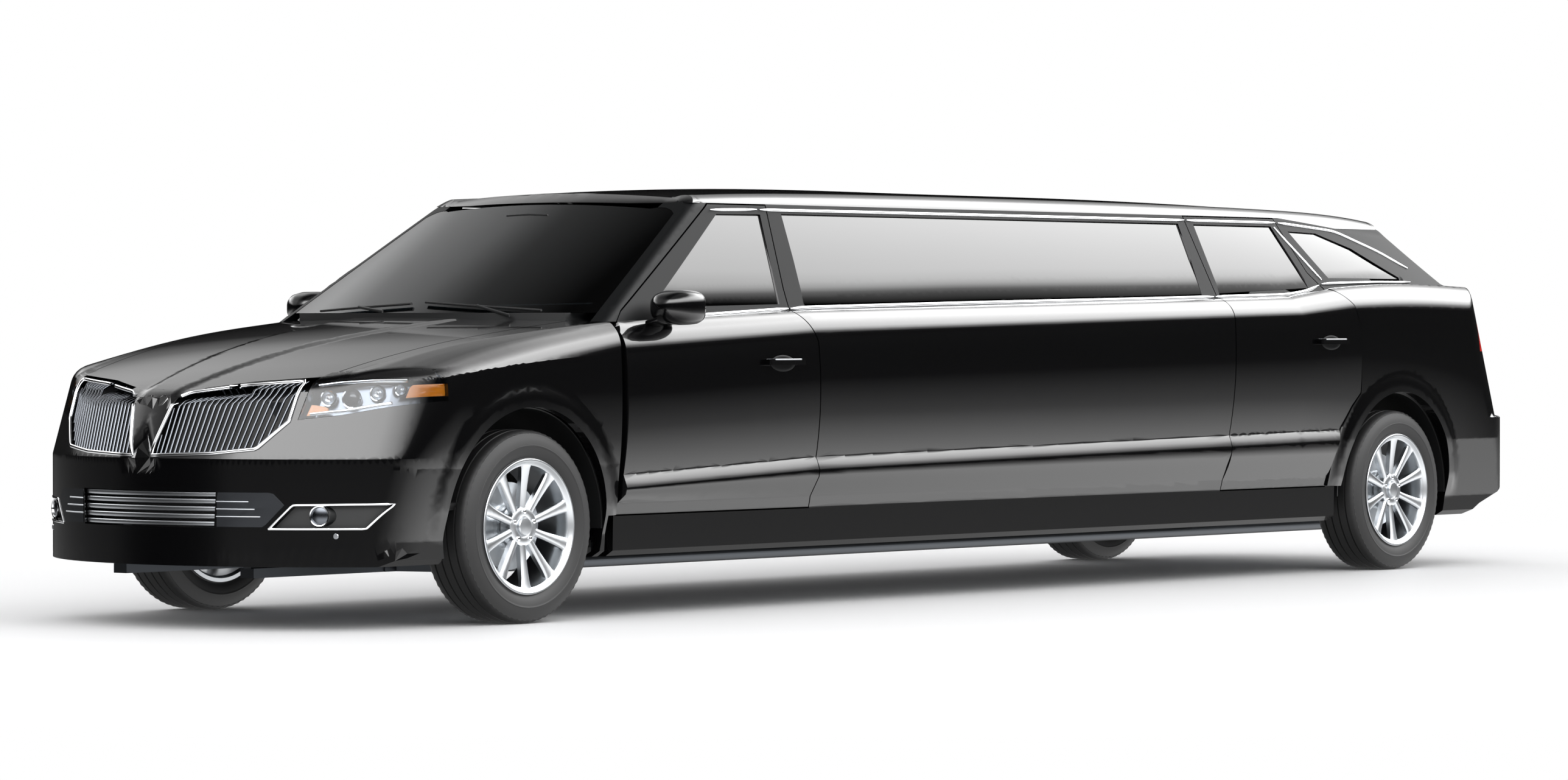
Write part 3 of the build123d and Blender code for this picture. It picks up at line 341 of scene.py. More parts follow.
def hatchField(x, y, z):
    return slantField(*body["hatchPlace"], x, y, z)


def frontField(x, y, z):
    return smoothMax(lowerField("front", x, y, z), noseField(x, y, z), body["noseRound"])


def midField(x, y, z):
    return lowerField("mid", x, y, z)


def rearField(x, y, z):
    return smoothMax(lowerField("rear", x, y, z), tailField(x, y, z), body["tailRound"])


def hatchTopField(x, y, z):
    return smoothMax(cabinField(x, y, z), hatchField(x, y, z), body["hatchRound"])


def pillarField(x, y, z):
    return smoothMax(cabinField(x, y, z), screenField(x, y, z), body["pillarRound"])


fields = {
    "front": frontField, "mid": midField, "rear": rearField, "cabin": cabinField,
    "hatch": hatchTopField, "pillar": pillarField, "screen": screenField, "rearScreen": hatchField,
}


def gradient(field, p, step=1.0):
    x, y, z = p[:, 0], p[:, 1], p[:, 2]
    g = np.stack([
        field(x + step, y, z) - field(x - step, y, z),
        field(x, y + step, z) - field(x, y - step, z),
        field(x, y, z + step) - field(x, y, z - step),
    ], 1)
    return g / np.maximum(np.linalg.norm(g, axis=1, keepdims=True), 1e-9)


def settle(field, p, rounds=5):
    # walk points onto the surface along its normal
    p = p.copy()
    for turn in range(rounds):
        f = field(p[:, 0], p[:, 1], p[:, 2])
        p -= gradient(field, p) * np.clip(f, -8, 8)[:, None]
    return p


print("fields done")


def gridSplit(bm, mark, limit):
    # halves the long edges of the marked faces until none is longer than the limit
    for turn in range(12):
        edges = {e for f in bm.faces if f[mark] for e in f.edges if e.calc_length() > limit}
        if not edges:
            break
        bmesh.ops.subdivide_edges(bm, edges=list(edges), cuts=1)
        bmesh.ops.triangulate(bm, faces=[f for f in bm.faces if len(f.verts) > 3])


def newObject(name, mesh, material, bodyName):
    mesh.materials.clear()
    mesh.materials.append(material)
    ob = bpy.data.objects.new(name, mesh)
    scene.collection.objects.link(ob)
    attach(ob, bodyName)
    return ob


skin = {
    "weld": 0.00004, "facing": 0.72, "floorLine": 300.0,  # m; least cosine to the surface; mm
    "sliver": 0.0004, "sliverNear": 1.0,  # m2, mm
    "lowLine": 380.0, "lowMove": 5.0, "moveShare": 1.4,  # low corners of the bumpers hardly move
    "inset": 0.08, "creaseGap": 4.0, "frameTop": 1.628,
}
upperZones = ("cabin", "hatch")


def allowed(zones, zone, at):
    # the cabin's surface, carried on downwards, crosses the side: it counts only above the crease
    if zone in upperZones and zones[0] in body:
        return at[:, 2] > stationRow(zones[0], at[:, 0] - xFront)[1]
    return np.full(len(at), True)


def markOuter(bm, mark, zones, reach):
    # each face is given the number of the surface that it lies on, or 0
    faces = list(bm.faces)
    c = np.array([f.calc_center_median() for f in faces]) * 1000
    n = np.array([f.normal for f in faces])
    best = np.full(len(faces), reach)
    flags = np.zeros(len(faces), int)
    for k, zone in enumerate(zones):
        value = np.abs(fields[zone](c[:, 0], c[:, 1], c[:, 2]))
        facing = (gradient(fields[zone], c) * n).sum(1) > skin["facing"]
        good = (value < best) & facing & (c[:, 2] > skin["floorLine"]) & allowed(zones, zone, c)
        best = np.where(good, value, best)
        flags = np.where(good, k + 1, flags)
    for f, flag in zip(faces, flags):
        f[mark] = int(flag)


def vertexHomes(bm, mark):
    home = np.zeros(len(bm.verts), int)
    for f in bm.faces:
        if f[mark]:
            for v in f.verts:
                old = home[v.index]
                home[v.index] = f[mark] if old in (0, f[mark]) else min(old, f[mark])
    return home


def adoptSlivers(bm, mark, zones, home, reach):
    # a sliver with no sure normal goes with the skin that all its corners lie on
    for f in bm.faces:
        if not f[mark] and f.calc_area() < skin["sliver"] and all(home[v.index] for v in f.verts):
            c = np.array(f.calc_center_median())[None] * 1000
            near = [
                abs(fields[zone](c[:, 0], c[:, 1], c[:, 2])[0]) if allowed(zones, zone, c)[0] else reach
                for zone in zones
            ]
            if min(near) < skin["sliverNear"]:
                f[mark] = int(np.argmin(near)) + 1


def settleSkin(p, zones, home, reach):
    for k, zone in enumerate(zones):
        pick = home == k + 1
        if pick.any():
            q = settle(fields[zone], p[pick])
            most = np.where(p[pick][:, 2] > skin["lowLine"], reach * skin["moveShare"], skin["lowMove"])
            near = np.linalg.norm(q - p[pick], axis=1) < most
            p[pick] = np.where(near[:, None], q, p[pick])


def tilted(n, at):
    # a pane bowed like a barrel: its normals lean by the angles given from its foot to its head
    foot = np.interp(at[:, 0] - xFront, *zip(*pane["foot"]))
    t = np.clip((at[:, 2] - foot) / (pane["head"] - foot), 0, 1)
    a = np.radians(np.interp(t, *zip(*pane["lean"])))
    out = n.copy()
    out[:, 1] = (np.abs(n[:, 1]) * np.cos(a) - n[:, 2] * np.sin(a)) * np.sign(n[:, 1])
    out[:, 2] = n[:, 2] * np.cos(a) + np.abs(n[:, 1]) * np.sin(a)
    return out


def skinNormals(mesh, p, zones, zoneOf, bowed):
    # the surface's own normals on the outer face, flat ones elsewhere
    mesh.polygons.foreach_set("use_smooth", [True] * len(mesh.polygons))
    loopVert = np.array([loop.vertex_index for loop in mesh.loops])
    loopFace = np.repeat(np.arange(len(mesh.polygons)), [poly.loop_total for poly in mesh.polygons])
    loops = np.array([poly.normal for poly in mesh.polygons])[loopFace]
    middle = np.array([poly.center for poly in mesh.polygons])[loopFace] * 1000
    for k, zone in enumerate(zones):
        pick = zoneOf[loopFace] == k + 1
        if pick.any():
            mid = middle[pick]
            inset = p[loopVert[pick]] * (1 - skin["inset"]) + mid * skin["inset"]
            if zone in body:
                # a face that spans the crease keeps to the side that its middle lies on
                crease = stationRow(zone, mid[:, 0] - xFront)[1]
                under = np.minimum(inset[:, 2], crease - skin["creaseGap"])
                over = np.maximum(inset[:, 2], crease + skin["creaseGap"])
                inset[:, 2] = np.where(mid[:, 2] < crease, under, over)
            n = gradient(fields[zone], inset)
            loops[pick] = tilted(n, inset) if bowed else n
    mesh.normals_split_custom_set([tuple(n) for n in loops])


def skinPanel(node, zones, bodyName, materials, limit=0.034, reach=25.0, keep=False, bowed=False):
    # the node again, its outer face laid on the smooth surface with that surface's normals; the first
    # material goes to the outer face, the second to the rest, the third to the cabin's outer sides
    bm = bmesh.new()
    bm.from_mesh(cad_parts[node].data)
    mark = bm.faces.layers.int.new("skin")
    bmesh.ops.remove_doubles(bm, verts=bm.verts, dist=skin["weld"])
    bm.normal_update()
    markOuter(bm, mark, zones, reach)
    gridSplit(bm, mark, limit)
    bm.normal_update()
    markOuter(bm, mark, zones, reach)
    bm.verts.index_update()
    p = np.array([v.co for v in bm.verts]) * 1000
    home = vertexHomes(bm, mark)
    adoptSlivers(bm, mark, zones, home, reach)
    if not keep:
        settleSkin(p, zones, home, reach)
        for v in bm.verts:
            v.co = p[v.index] / 1000
    bm.normal_update()
    mesh = bpy.data.meshes.new("skin_" + node)
    bm.to_mesh(mesh)
    bm.free()
    zoneOf = np.zeros(len(mesh.polygons), int)
    mesh.attributes["skin"].data.foreach_get("value", zoneOf)
    skinNormals(mesh, p, zones, zoneOf, bowed)
    ob = newObject("skin_" + node, mesh, materials[0], bodyName)
    for extra in materials[1:]:
        mesh.materials.append(extra)
    if len(materials) > 1:
        index = np.where(zoneOf == 0, 1, 0)
        if len(materials) > 2:
            low = np.array([poly.center[2] for poly in mesh.polygons]) < skin["frameTop"]
            side = np.array([k > 0 and zones[k - 1] in upperZones for k in zoneOf])
            index = np.where(side & low, 2, index)
        mesh.polygons.foreach_set("material_index", [int(i) for i in index])
    mesh.attributes.remove(mesh.attributes["skin"])
    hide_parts(node)
    print("panel", node, len(mesh.polygons), int((zoneOf > 0).sum()))


panels = {  # the surfaces that the outer face follows, the body it rides on, the longest edge
    "front_fenders": (["front"], "chassis", 0.04),
    "front_bumper": (["front"], "chassis", 0.04),
    "hood": (["front"], "hood", 0.034),
    "side_panels": (["mid", "cabin"], "chassis", 0.2),
    "roof": (["cabin", "hatch", "pillar"], "chassis", 0.14),
    "front_pillars": (["pillar"], "chassis", 0.05),
    "quarter_panels": (["rear", "hatch"], "chassis", 0.032),
    "rear_bumper": (["rear"], "chassis", 0.05),
    "tailgate": (["rear", "hatch"], "tailgate", 0.05),
}
panes = {}
for kind, limit in (("front_door", 0.1), ("rear_door", 0.06)):
    for side, sign in sides:
        door = kind + "_" + side
        panels[door] = (["mid", "cabin"], door, limit)
        panes[kind + "_glass_" + side] = ("cabin", door)
panes["side_windows"] = ("cabin", "chassis")
panes["windshield"] = ("screen", "chassis")
panes["tailgate_glass"] = ("rearScreen", "tailgate")
pane = {
    "foot": [(-6020, 1328), (-5228, 1266), (-2799, 1221), (-1089, 1168)],  # place, height
    "head": 1588,
    "lean": [(0, -16), (0.16, -13), (0.3, -5), (1, 5)],  # share of the height, degrees
    "reach": 40.0,
}
framed = ("side_panels", "quarter_panels")
for node, (zones, bodyName, limit) in panels.items():
    kinds = [paint, paint, satinFilmAndCupShade] if "door" in node or node in framed else [paint]
    kinds = [satinFilmAndCupShade] if node == "front_pillars" else kinds
    skinPanel(node, zones, bodyName, kinds, limit)
for node, (zone, bodyName) in panes.items():
    glass = screenGlass if zone == "screen" else sideGlass
    bowed = zone == "cabin"
    skinPanel(node, [zone], bodyName, [glass], reach=pane["reach"], keep=True, bowed=bowed)
skinPanel("tail_lamps", ["rear"], "chassis", [redLens])
skinPanel("headlamps", ["front"], "chassis", [lensGlass, reflector], limit=0.02, reach=30.0)
print("panels done")


def meshFrom(name, verts, faces, angle=35):
    mesh = bpy.data.meshes.new(name)
    mesh.from_pydata([tuple(v) for v in verts], [], faces)
    mesh.validate()
    bm = bmesh.new()
    bm.from_mesh(mesh)
    bmesh.ops.remove_doubles(bm, verts=bm.verts, dist=0.00002)
    bmesh.ops.recalc_face_normals(bm, faces=bm.faces)
    for f in bm.faces:
        f.smooth = True
    for e in bm.edges:
        e.smooth = not (len(e.link_faces) == 2 and e.calc_face_angle(0) > math.radians(angle))
    bm.to_mesh(mesh)
    bm.free()
    return mesh


def turned(profile, count):
    # a closed profile of (radius, width) pairs turned about the wheel's axis
    verts, faces = [], []
    n = len(profile)
    for k in range(count):
        a = 2 * math.pi * k / count
        for r, w in profile:
            verts.append((r * math.cos(a), w, r * math.sin(a)))
    for k in range(count):
        m = (k + 1) % count
        for i in range(n):
            j = (i + 1) % n
            faces.append((k * n + i, k * n + j, m * n + j, m * n + i))
    return verts, faces


def lofted(rings):
    verts, faces = [], []
    n = len(rings[0])
    for ring in rings:
        verts += ring
    for k in range(len(rings) - 1):
        for i in range(n):
            j = (i + 1) % n
            faces.append((k * n + i, k * n + j, (k + 1) * n + j, (k + 1) * n + i))
    faces.append(tuple(range(n)))
    faces.append(tuple((len(rings) - 1) * n + i for i in reversed(range(n))))
    return verts, faces


def joinParts(name, parts, **more):
    verts, faces = [], []
    for v, f in parts:
        base = len(verts)
        verts += v
        faces += [tuple(base + i for i in face) for face in f]
    return meshFrom(name, verts, faces, **more)


def placed(mesh, at, mirrored, name):
    copy = mesh.copy()
    copy.name = name
    for v in copy.vertices:
        v.co = (v.co.x + at[0], (-v.co.y if mirrored else v.co.y) + at[1], v.co.z + at[2])
    if mirrored:
        copy.flip_normals()
    return copy


wheel = {  # in m; profiles are (radius, distance from the middle plane)
    "radius": 0.3705, "axleZ": 0.3705, "trackHalf": 0.825, "sipes": 72, "sipeDepth": 0.0028,
    "treadHalf": 0.0845, "grooves": (-0.062, -0.021, 0.021, 0.062), "grooveWidth": 0.008,
    "grooveDepth": 0.0075, "grooveSlope": 0.0015, "spokes": 10, "lugs": 5, "lugRadius": 0.05715,
    "wall": [
        (0.2462, 0.0965), (0.2560, 0.1030), (0.2600, 0.1052), (0.2630, 0.1040), (0.2700, 0.1085),
        (0.2850, 0.1142), (0.3010, 0.1176), (0.3060, 0.1182), (0.3075, 0.1192), (0.3105, 0.1192),
        (0.3120, 0.1180), (0.3260, 0.1158), (0.3400, 0.1112), (0.3500, 0.1062), (0.3560, 0.1034),
        (0.3580, 0.1042), (0.3610, 0.1010), (0.3652, 0.0950),
    ],
    "barrel": [
        (0.2460, -0.100), (0.2460, -0.104), (0.2585, -0.105), (0.2590, -0.111), (0.2440, -0.112),
        (0.2340, -0.100), (0.2280, 0.040), (0.2300, 0.088), (0.2340, 0.099), (0.2430, 0.1035),
        (0.2480, 0.1105), (0.2520, 0.1130), (0.2570, 0.1130), (0.2595, 0.1110), (0.2590, 0.1052),
        (0.2455, 0.104), (0.2455, 0.100),
    ],
    "hub": [
        (0.0700, 0.0230), (0.0760, 0.0300), (0.0770, 0.0740), (0.0745, 0.0800), (0.0690, 0.0825),
        (0.0440, 0.0835), (0.0390, 0.0815), (0.0375, 0.0790), (0.0350, 0.0790), (0.0345, 0.0900),
        (0.0320, 0.0925), (0.0200, 0.0940), (0.0001, 0.0945), (0.0001, 0.0700), (0.033, 0.0700),
        (0.033, 0.0230),
    ],
    "disc": [
        (0.0900, -0.018), (0.1680, -0.018), (0.1680, 0.004), (0.0900, 0.004), (0.0880, 0.022),
        (0.0500, 0.022), (0.0500, 0.0100), (0.0840, 0.0100),
    ],
    "spoke": (  # radius, half width, face, depth
        (0.060, 0.0165, 0.0810, 0.030), (0.085, 0.0155, 0.0825, 0.031), (0.120, 0.0160, 0.0860, 0.031),
        (0.160, 0.0180, 0.0905, 0.030), (0.195, 0.0205, 0.0950, 0.028), (0.222, 0.0240, 0.0985, 0.026),
        (0.236, 0.0300, 0.1000, 0.025),
    ),
    "spokeRound": 0.0042,
    "lug": ((0.0098, 0.070), (0.0098, 0.0845), (0.0088, 0.0875), (0.0050, 0.0890)),
}


def treadCrown(y):
    return wheel["radius"] - 0.0022 * (y / 0.084) ** 2


def tyreMesh():
    edge, slope, depth = wheel["treadHalf"], wheel["grooveSlope"], wheel["grooveDepth"]
    tread = [(-edge, treadCrown(edge))]
    for g in wheel["grooves"]:
        a, b = g - wheel["grooveWidth"] / 2, g + wheel["grooveWidth"] / 2
        tread += [(a, treadCrown(a)), (a + slope, treadCrown(a) - depth)]
        tread += [(b - slope, treadCrown(b) - depth), (b, treadCrown(b))]
    tread.append((edge, treadCrown(edge)))
    wall = wheel["wall"]
    profile = [(q, -y) for q, y in wall]
    profile += [(q, y) for y, q in tread]
    profile += [(q, y) for q, y in reversed(wall)]
    count = wheel["sipes"] * 2
    verts, faces = turned(profile, count)
    n = len(profile)
    first, last = len(wall), len(wall) + len(tread) - 1
    shoulder = {first - 3, first - 2, first - 1, first, last, last + 1, last + 2, last + 3}
    for k in range(0, count, 2):
        for i in shoulder:
            x, y, z = verts[k * n + i]
            q = math.hypot(x, z)
            left = q - wheel["sipeDepth"]
            verts[k * n + i] = (x * left / q, y * 0.996, z * left / q)
    return meshFrom("tyre", verts, faces, angle=28)


def rimMesh():
    parts = [turned(wheel["barrel"], 96), turned(wheel["hub"], 80)]
    b = wheel["spokeRound"]
    for k in range(wheel["spokes"]):
        a = 2 * math.pi * (k + 0.5) / wheel["spokes"]
        c, s = math.cos(a), math.sin(a)
        rings = []
        for q, half, face, depth in wheel["spoke"]:
            outline = [
                (-half, face - b * 1.6), (-half + b, face - b * 0.5), (-half + 2.2 * b, face),
                (half - 2.2 * b, face), (half - b, face - b * 0.5), (half, face - b * 1.6),
                (half * 0.82, face - depth), (-half * 0.82, face - depth),
            ]
            rings.append([(q * c - t * s, y, q * s + t * c) for t, y in outline])
        parts.append(lofted(rings))
    parts.append(turned(wheel["disc"], 64))
    return joinParts("rim", parts, angle=30)


def lugMesh():
    parts = []
    sixths = [(math.cos(t * math.pi / 3), math.sin(t * math.pi / 3)) for t in range(6)]
    for k in range(wheel["lugs"]):
        a = math.pi / 2 + 2 * math.pi * k / wheel["lugs"]
        cx, cz = wheel["lugRadius"] * math.cos(a), wheel["lugRadius"] * math.sin(a)
        parts.append(lofted([[(cx + q * c, y, cz + q * s) for c, s in sixths] for q, y in wheel["lug"]]))
    return joinParts("lug_nuts", parts)


tyreBase, rimBase, lugBase = tyreMesh(), rimMesh(), lugMesh()
for corner, x in (("front", xFront / 1000), ("rear", (xFront - wheelBase) / 1000)):
    for side, sign in sides:
        name = corner + "_" + side
        at = (x, sign * wheel["trackHalf"], wheel["axleZ"])
        for kind, base, finish, slotName, node in (
            ("tread_", tyreBase, rubber, "tyre", "tyre_"), ("spokes_", rimBase, alloy, "alloy", "rim_"),
            ("lugs_", lugBase, chrome, "alloy", None),
        ):
            mesh = placed(base, at, sign < 0, kind + name)
            ob = newObject(kind + name, mesh, finish, "wheel_" + name)
            if node:
                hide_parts(node + name)
print("wheels done")


def skinDepth(names, x, z):
    # the outermost half width of the named surfaces at a place on the side
    low = np.full_like(x, 450.0)
    high = np.full_like(x, 1100.0)
    for turn in range(42):
        y = (low + high) / 2
        f = np.min([fields[n](x, y, z) for n in names], axis=0)
        low = np.where(f < 0, y, low)
        high = np.where(f < 0, high, y)
    return (low + high) / 2


def alongPath(path, step=30.0):
    # even points on a path of (place from the front axle, height), rounded by a short average
    pts = np.array(path, float)
    d = np.r_[0, np.cumsum(np.hypot(*np.diff(pts, axis=0).T))]
    t = np.linspace(0, d[-1], max(int(d[-1] / step), 6))
    q = np.stack([np.interp(t, d, pts[:, 0]), np.interp(t, d, pts[:, 1])], 1)
    for turn in range(3):
        q[1:-1] = (q[:-2] + 2 * q[1:-1] + q[2:]) / 4
    return q


def ribbon(name, path, sign, width, height, names, bodyName):
    # a half-round chrome strip that follows the skin
    q = alongPath(path)
    x, z = q[:, 0] + xFront, q[:, 1]
    y = skinDepth(names, x, z)
    p = np.stack([x, y, z], 1)
    values = np.array([np.abs(fields[n](x, y, z)) for n in names])
    normals = np.array([gradient(fields[n], p) for n in names])
    normal = normals[values.argmin(0), np.arange(len(x))]
    tangent = np.gradient(p, axis=0)
    tangent /= np.linalg.norm(tangent, axis=1, keepdims=True)
    across = np.cross(normal, tangent)
    across /= np.linalg.norm(across, axis=1, keepdims=True)
    rings = []
    for i in range(len(p)):
        ring = []
        taper = min(1.0, 0.35 + min(i, len(p) - 1 - i) * 0.4)
        for k in range(9):
            a = math.pi * k / 8
            wide = across[i] * math.cos(a) * width / 2 * taper
            ring.append(p[i] + wide + normal[i] * (math.sin(a) * height))
        ring.append(p[i] - across[i] * width / 2 * taper - normal[i] * 2)
        ring.append(p[i] + across[i] * width / 2 * taper - normal[i] * 2)
        rings.append([(r[0] / 1000, sign * r[1] / 1000, r[2] / 1000) for r in ring])
    mesh = joinParts(name, [lofted(rings)], angle=50)
    return newObject(name, mesh, chrome, bodyName)


def cutPath(path, a, b):
    # the stretch of a path between two places
    pts = sorted(path, reverse=True)
    xs = [p[0] for p in pts][::-1]
    zs = [p[1] for p in pts][::-1]
    inside = [p for p in pts if b < p[0] < a]
    return [(a, float(np.interp(a, xs, zs)))] + inside + [(b, float(np.interp(b, xs, zs)))]


trim = {  # paths are (place from the front axle, height)
    "belt": [
        (-790, 1168), (-1089, 1177), (-1741, 1208), (-2799, 1229), (-4120, 1251), (-5228, 1274),
        (-5400, 1290), (-5562, 1326), (-6020, 1335), (-6330, 1336),
    ],
    "beltWidth": 17.0, "beltHeight": 6.0,
    "drip": [
        (-1330, 1600), (-1608, 1605), (-2283, 1606), (-3955, 1606), (-5300, 1605), (-5435, 1603),
        (-5878, 1572), (-6200, 1480), (-6390, 1402),
    ],
    "dripWidth": 14.0, "dripHeight": 6.0,
    "beltBreaks": [
        ("front_door", -700, -1628), ("side", -1642, -4642), ("rear_door", -4658, -5520),
        ("quarter", -5548, -6330),
    ],
    "dripBreaks": [
        ("front_door", -540, -1626), ("side", -1646, -4640), ("rear_door", -4660, -5376),
        ("quarter", -5400, -6400),
    ],
}
for side, sign in sides:
    for kind in ("belt", "drip"):
        for part, a, b in trim[kind + "Breaks"]:
            line = cutPath(trim[kind], min(a, trim[kind][0][0]), max(b, trim[kind][-1][0]))
            owner = part + "_" + side if "door" in part else "chassis"
            names = ["rear", "cabin"] if part == "quarter" else ["mid", "cabin"]
            strip = kind + "_strip_" + part + "_" + side
            ribbon(strip, line, sign, trim[kind + "Width"], trim[kind + "Height"], names, owner)
print("strips done")


def noseDepth(y, z, depth=0.0):
    # the front skin's place at a half width and height, or a shell that lies deeper
    low = np.full_like(y, xFront + 300.0)
    high = np.full_like(y, xFront + 1250.0)
    for turn in range(40):
        x = (low + high) / 2
        f = frontField(x, np.abs(y), z) + depth
        low = np.where(f < 0, x, low)
        high = np.where(f < 0, high, x)
    return (low + high) / 2


def frontPoints(path, step, depth=0.0, closed=False):
    pts = np.array(list(path) + ([path[0]] if closed else []), float)
    d = np.r_[0, np.cumsum(np.hypot(*np.diff(pts, axis=0).T))]
    t = np.linspace(0, d[-1], max(int(d[-1] / step), 4))
    y, z = np.interp(t, d, pts[:, 0]), np.interp(t, d, pts[:, 1])
    if closed:
        y, z = y[:-1], z[:-1]
    return np.stack([noseDepth(y, z, depth), y, z], 1)


def sweepTree(name):
    # sweeps a rounded bar along every polyline of a mesh, with its flat turned to one side
    tree = bpy.data.node_groups.new(name, "GeometryNodeTree")
    face = tree.interface
    ids = {}
    for label, kind, way in (
        ("Geometry", "NodeSocketGeometry", "INPUT"), ("Bar Width", "NodeSocketFloat", "INPUT"),
        ("Bar Depth", "NodeSocketFloat", "INPUT"), ("Corner", "NodeSocketFloat", "INPUT"),
        ("Facing", "NodeSocketVector", "INPUT"), ("Finish", "NodeSocketMaterial", "INPUT"),
        ("Geometry", "NodeSocketGeometry", "OUTPUT"),
    ):
        socket = face.new_socket(name=label, in_out=way, socket_type=kind)
        if way == "INPUT":
            ids[label] = socket.identifier
    start = tree.nodes.new("NodeGroupInput")
    end = tree.nodes.new("NodeGroupOutput")
    curve = addNode(tree, "GeometryNodeMeshToCurve", [("Mesh", start.outputs["Geometry"])])
    turn = addNode(tree, "GeometryNodeSetCurveNormal", [("Curve", curve.outputs[0])], mode="FREE")
    tree.links.new(start.outputs["Facing"], turn.inputs["Normal"])
    shape = addNode(tree, "GeometryNodeCurvePrimitiveQuadrilateral")
    tree.links.new(start.outputs["Bar Width"], shape.inputs["Width"])
    tree.links.new(start.outputs["Bar Depth"], shape.inputs["Height"])
    rounding = [("Curve", shape.outputs[0]), ("Radius", start.outputs["Corner"])]
    soft = addNode(tree, "GeometryNodeFilletCurve", rounding)
    soft.mode = "POLY"
    soft.inputs["Count"].default_value = 2
    rail = [("Curve", turn.outputs[0]), ("Profile Curve", soft.outputs[0])]
    sweep = addNode(tree, "GeometryNodeCurveToMesh", rail)
    sweep.inputs["Fill Caps"].default_value = True
    smooth = addNode(tree, "GeometryNodeSetShadeSmooth", [("Geometry", sweep.outputs[0])])
    real = addNode(tree, "GeometryNodeRealizeInstances", [("Geometry", smooth.outputs[0])])
    coat = [("Geometry", real.outputs[0]), ("Material", start.outputs["Finish"])]
    finish = addNode(tree, "GeometryNodeSetMaterial", coat)
    tree.links.new(finish.outputs[0], end.inputs[0])
    return tree, ids


sweepBars, sweepIds = sweepTree("sweep_bars")


def swept(name, lines, bar, facing, material, bodyName="chassis"):
    # lines of points in mm become bars of a width, depth and corner, kept as a plain mesh
    verts, edges = [], []
    for line in lines:
        base = len(verts)
        verts += [tuple(np.asarray(p) / 1000) for p in line]
        edges += [(base + i, base + i + 1) for i in range(len(line) - 1)]
    mesh = bpy.data.meshes.new(name + "_lines")
    mesh.from_pydata(verts, edges, [])
    holder = bpy.data.objects.new(name + "_lines", mesh)
    scene.collection.objects.link(holder)
    mod = holder.modifiers.new("bars", "NODES")
    mod.node_group = sweepBars
    for label, size in zip(("Bar Width", "Bar Depth", "Corner"), bar):
        mod[sweepIds[label]] = size / 1000
    mod[sweepIds["Facing"]] = facing
    mod[sweepIds["Finish"]] = material
    graph = bpy.context.evaluated_depsgraph_get()
    result = bpy.data.meshes.new_from_object(holder.evaluated_get(graph))
    result.name = name
    holder.modifiers.remove(mod)
    bpy.data.objects.remove(holder)
    bm = bmesh.new()
    bm.from_mesh(result)
    bmesh.ops.remove_doubles(bm, verts=bm.verts, dist=0.00001)
    bmesh.ops.recalc_face_normals(bm, faces=bm.faces)
    for e in bm.edges:
        e.smooth = not (len(e.link_faces) == 2 and e.calc_face_angle(0) > math.radians(50))
    bm.to_mesh(result)
    bm.free()
    return newObject(name, result, material, bodyName)


def facePatch(name, outline, depth, thick, material, step=24.0):
    # a pair of plates cut to a front outline, bent to the nose and set back from it
    verts, faces = [], []
    for side, sign in sides:
        ring = frontPoints(outline, step, depth, closed=True)
        mid = np.array([[p[0] for p in outline], [p[1] for p in outline]]).mean(1)
        loops = []
        for t in (1.0, 0.75, 0.5, 0.25):
            y, z = mid[0] + (ring[:, 1] - mid[0]) * t, mid[1] + (ring[:, 2] - mid[1]) * t
            loops.append(np.stack([noseDepth(y, z, depth), y, z], 1))
        base = len(verts)
        n = len(ring)
        back = loops[0] - np.array([thick, 0, 0])
        for loop in [back] + loops:
            verts += [(p[0] / 1000, sign * p[1] / 1000, p[2] / 1000) for p in loop]
        centre = len(verts)
        cx = noseDepth(np.array([mid[0]]), np.array([mid[1]]), depth)[0]
        verts.append((cx / 1000, sign * mid[0] / 1000, mid[1] / 1000))
        for r in range(len(loops)):
            here, after = base + r * n, base + (r + 1) * n
            for i in range(n):
                j = (i + 1) % n
                faces.append((here + i, here + j, after + j, after + i))
        last = base + len(loops) * n
        faces += [(last + i, last + (i + 1) % n, centre) for i in range(n)]
    mesh = meshFrom(name, verts, faces, angle=40)
    return newObject(name, mesh, material, "chassis")


nose = {  # outlines are (half width, height); bars are width, depth, corner
    "grille": [
        (52, 650), (112, 866), (155, 886), (370, 914), (596, 930), (586, 782), (496, 678), (325, 660),
    ],
    "bars": 25, "firstBar": 48, "barPitch": 21.6, "barLean": (12, 50), "bar": (9.0, 9.0, 3.0),
    "barSet": 16.0, "surround": (11.0, 14.0, 4.0), "backing": 62.0, "plate": 4.0,
    "leanFoot": 650, "leanRise": 290,
    "intake": [(0, 384), (345, 384), (352, 520), (0, 520)],
    "intakeBars": (398, 426, 454, 482, 508), "intakeHalf": 343, "intakeBar": (11.0, 18.0, 3.5),
    "intakeBacking": 90.0,
    "sidePlate": [(356, 388), (358, 516), (560, 516), (600, 470), (530, 388)],
    "fog": [(547, 381), (626, 470), (902, 474), (839, 382)],
    "fogBar": (9.0, 9.0, 3.5), "fogBacking": 58.0, "fogLamp": (706, 430, 38),
    "ribs": ((426, 520), (454, 500), (482, 478)), "ribStart": 356, "rib": (7.0, 5.0, 2.0),
}
forward = (1, 0, 0)


def insideSpan(outline, foot, lean, pad):
    # where a slanting line runs inside an outline: its lowest and highest heights
    zs = np.linspace(600, 960, 721)
    ys = foot + lean * (zs - nose["leanFoot"]) / nose["leanRise"]
    pts = np.array(outline, float)
    inside = np.zeros(len(zs), bool)
    for k in range(len(zs)):
        odd = False
        for a, b in zip(pts, np.roll(pts, -1, axis=0)):
            if (a[1] > zs[k]) != (b[1] > zs[k]):
                if ys[k] < a[0] + (zs[k] - a[1]) * (b[0] - a[0]) / (b[1] - a[1]):
                    odd = not odd
        inside[k] = odd
    if inside.sum() < 24:
        return None
    good = zs[inside]
    return good[0] + pad, good[-1] - pad


def bothSides(lines):
    return [line * turn for line in lines for turn in (1, flip)]


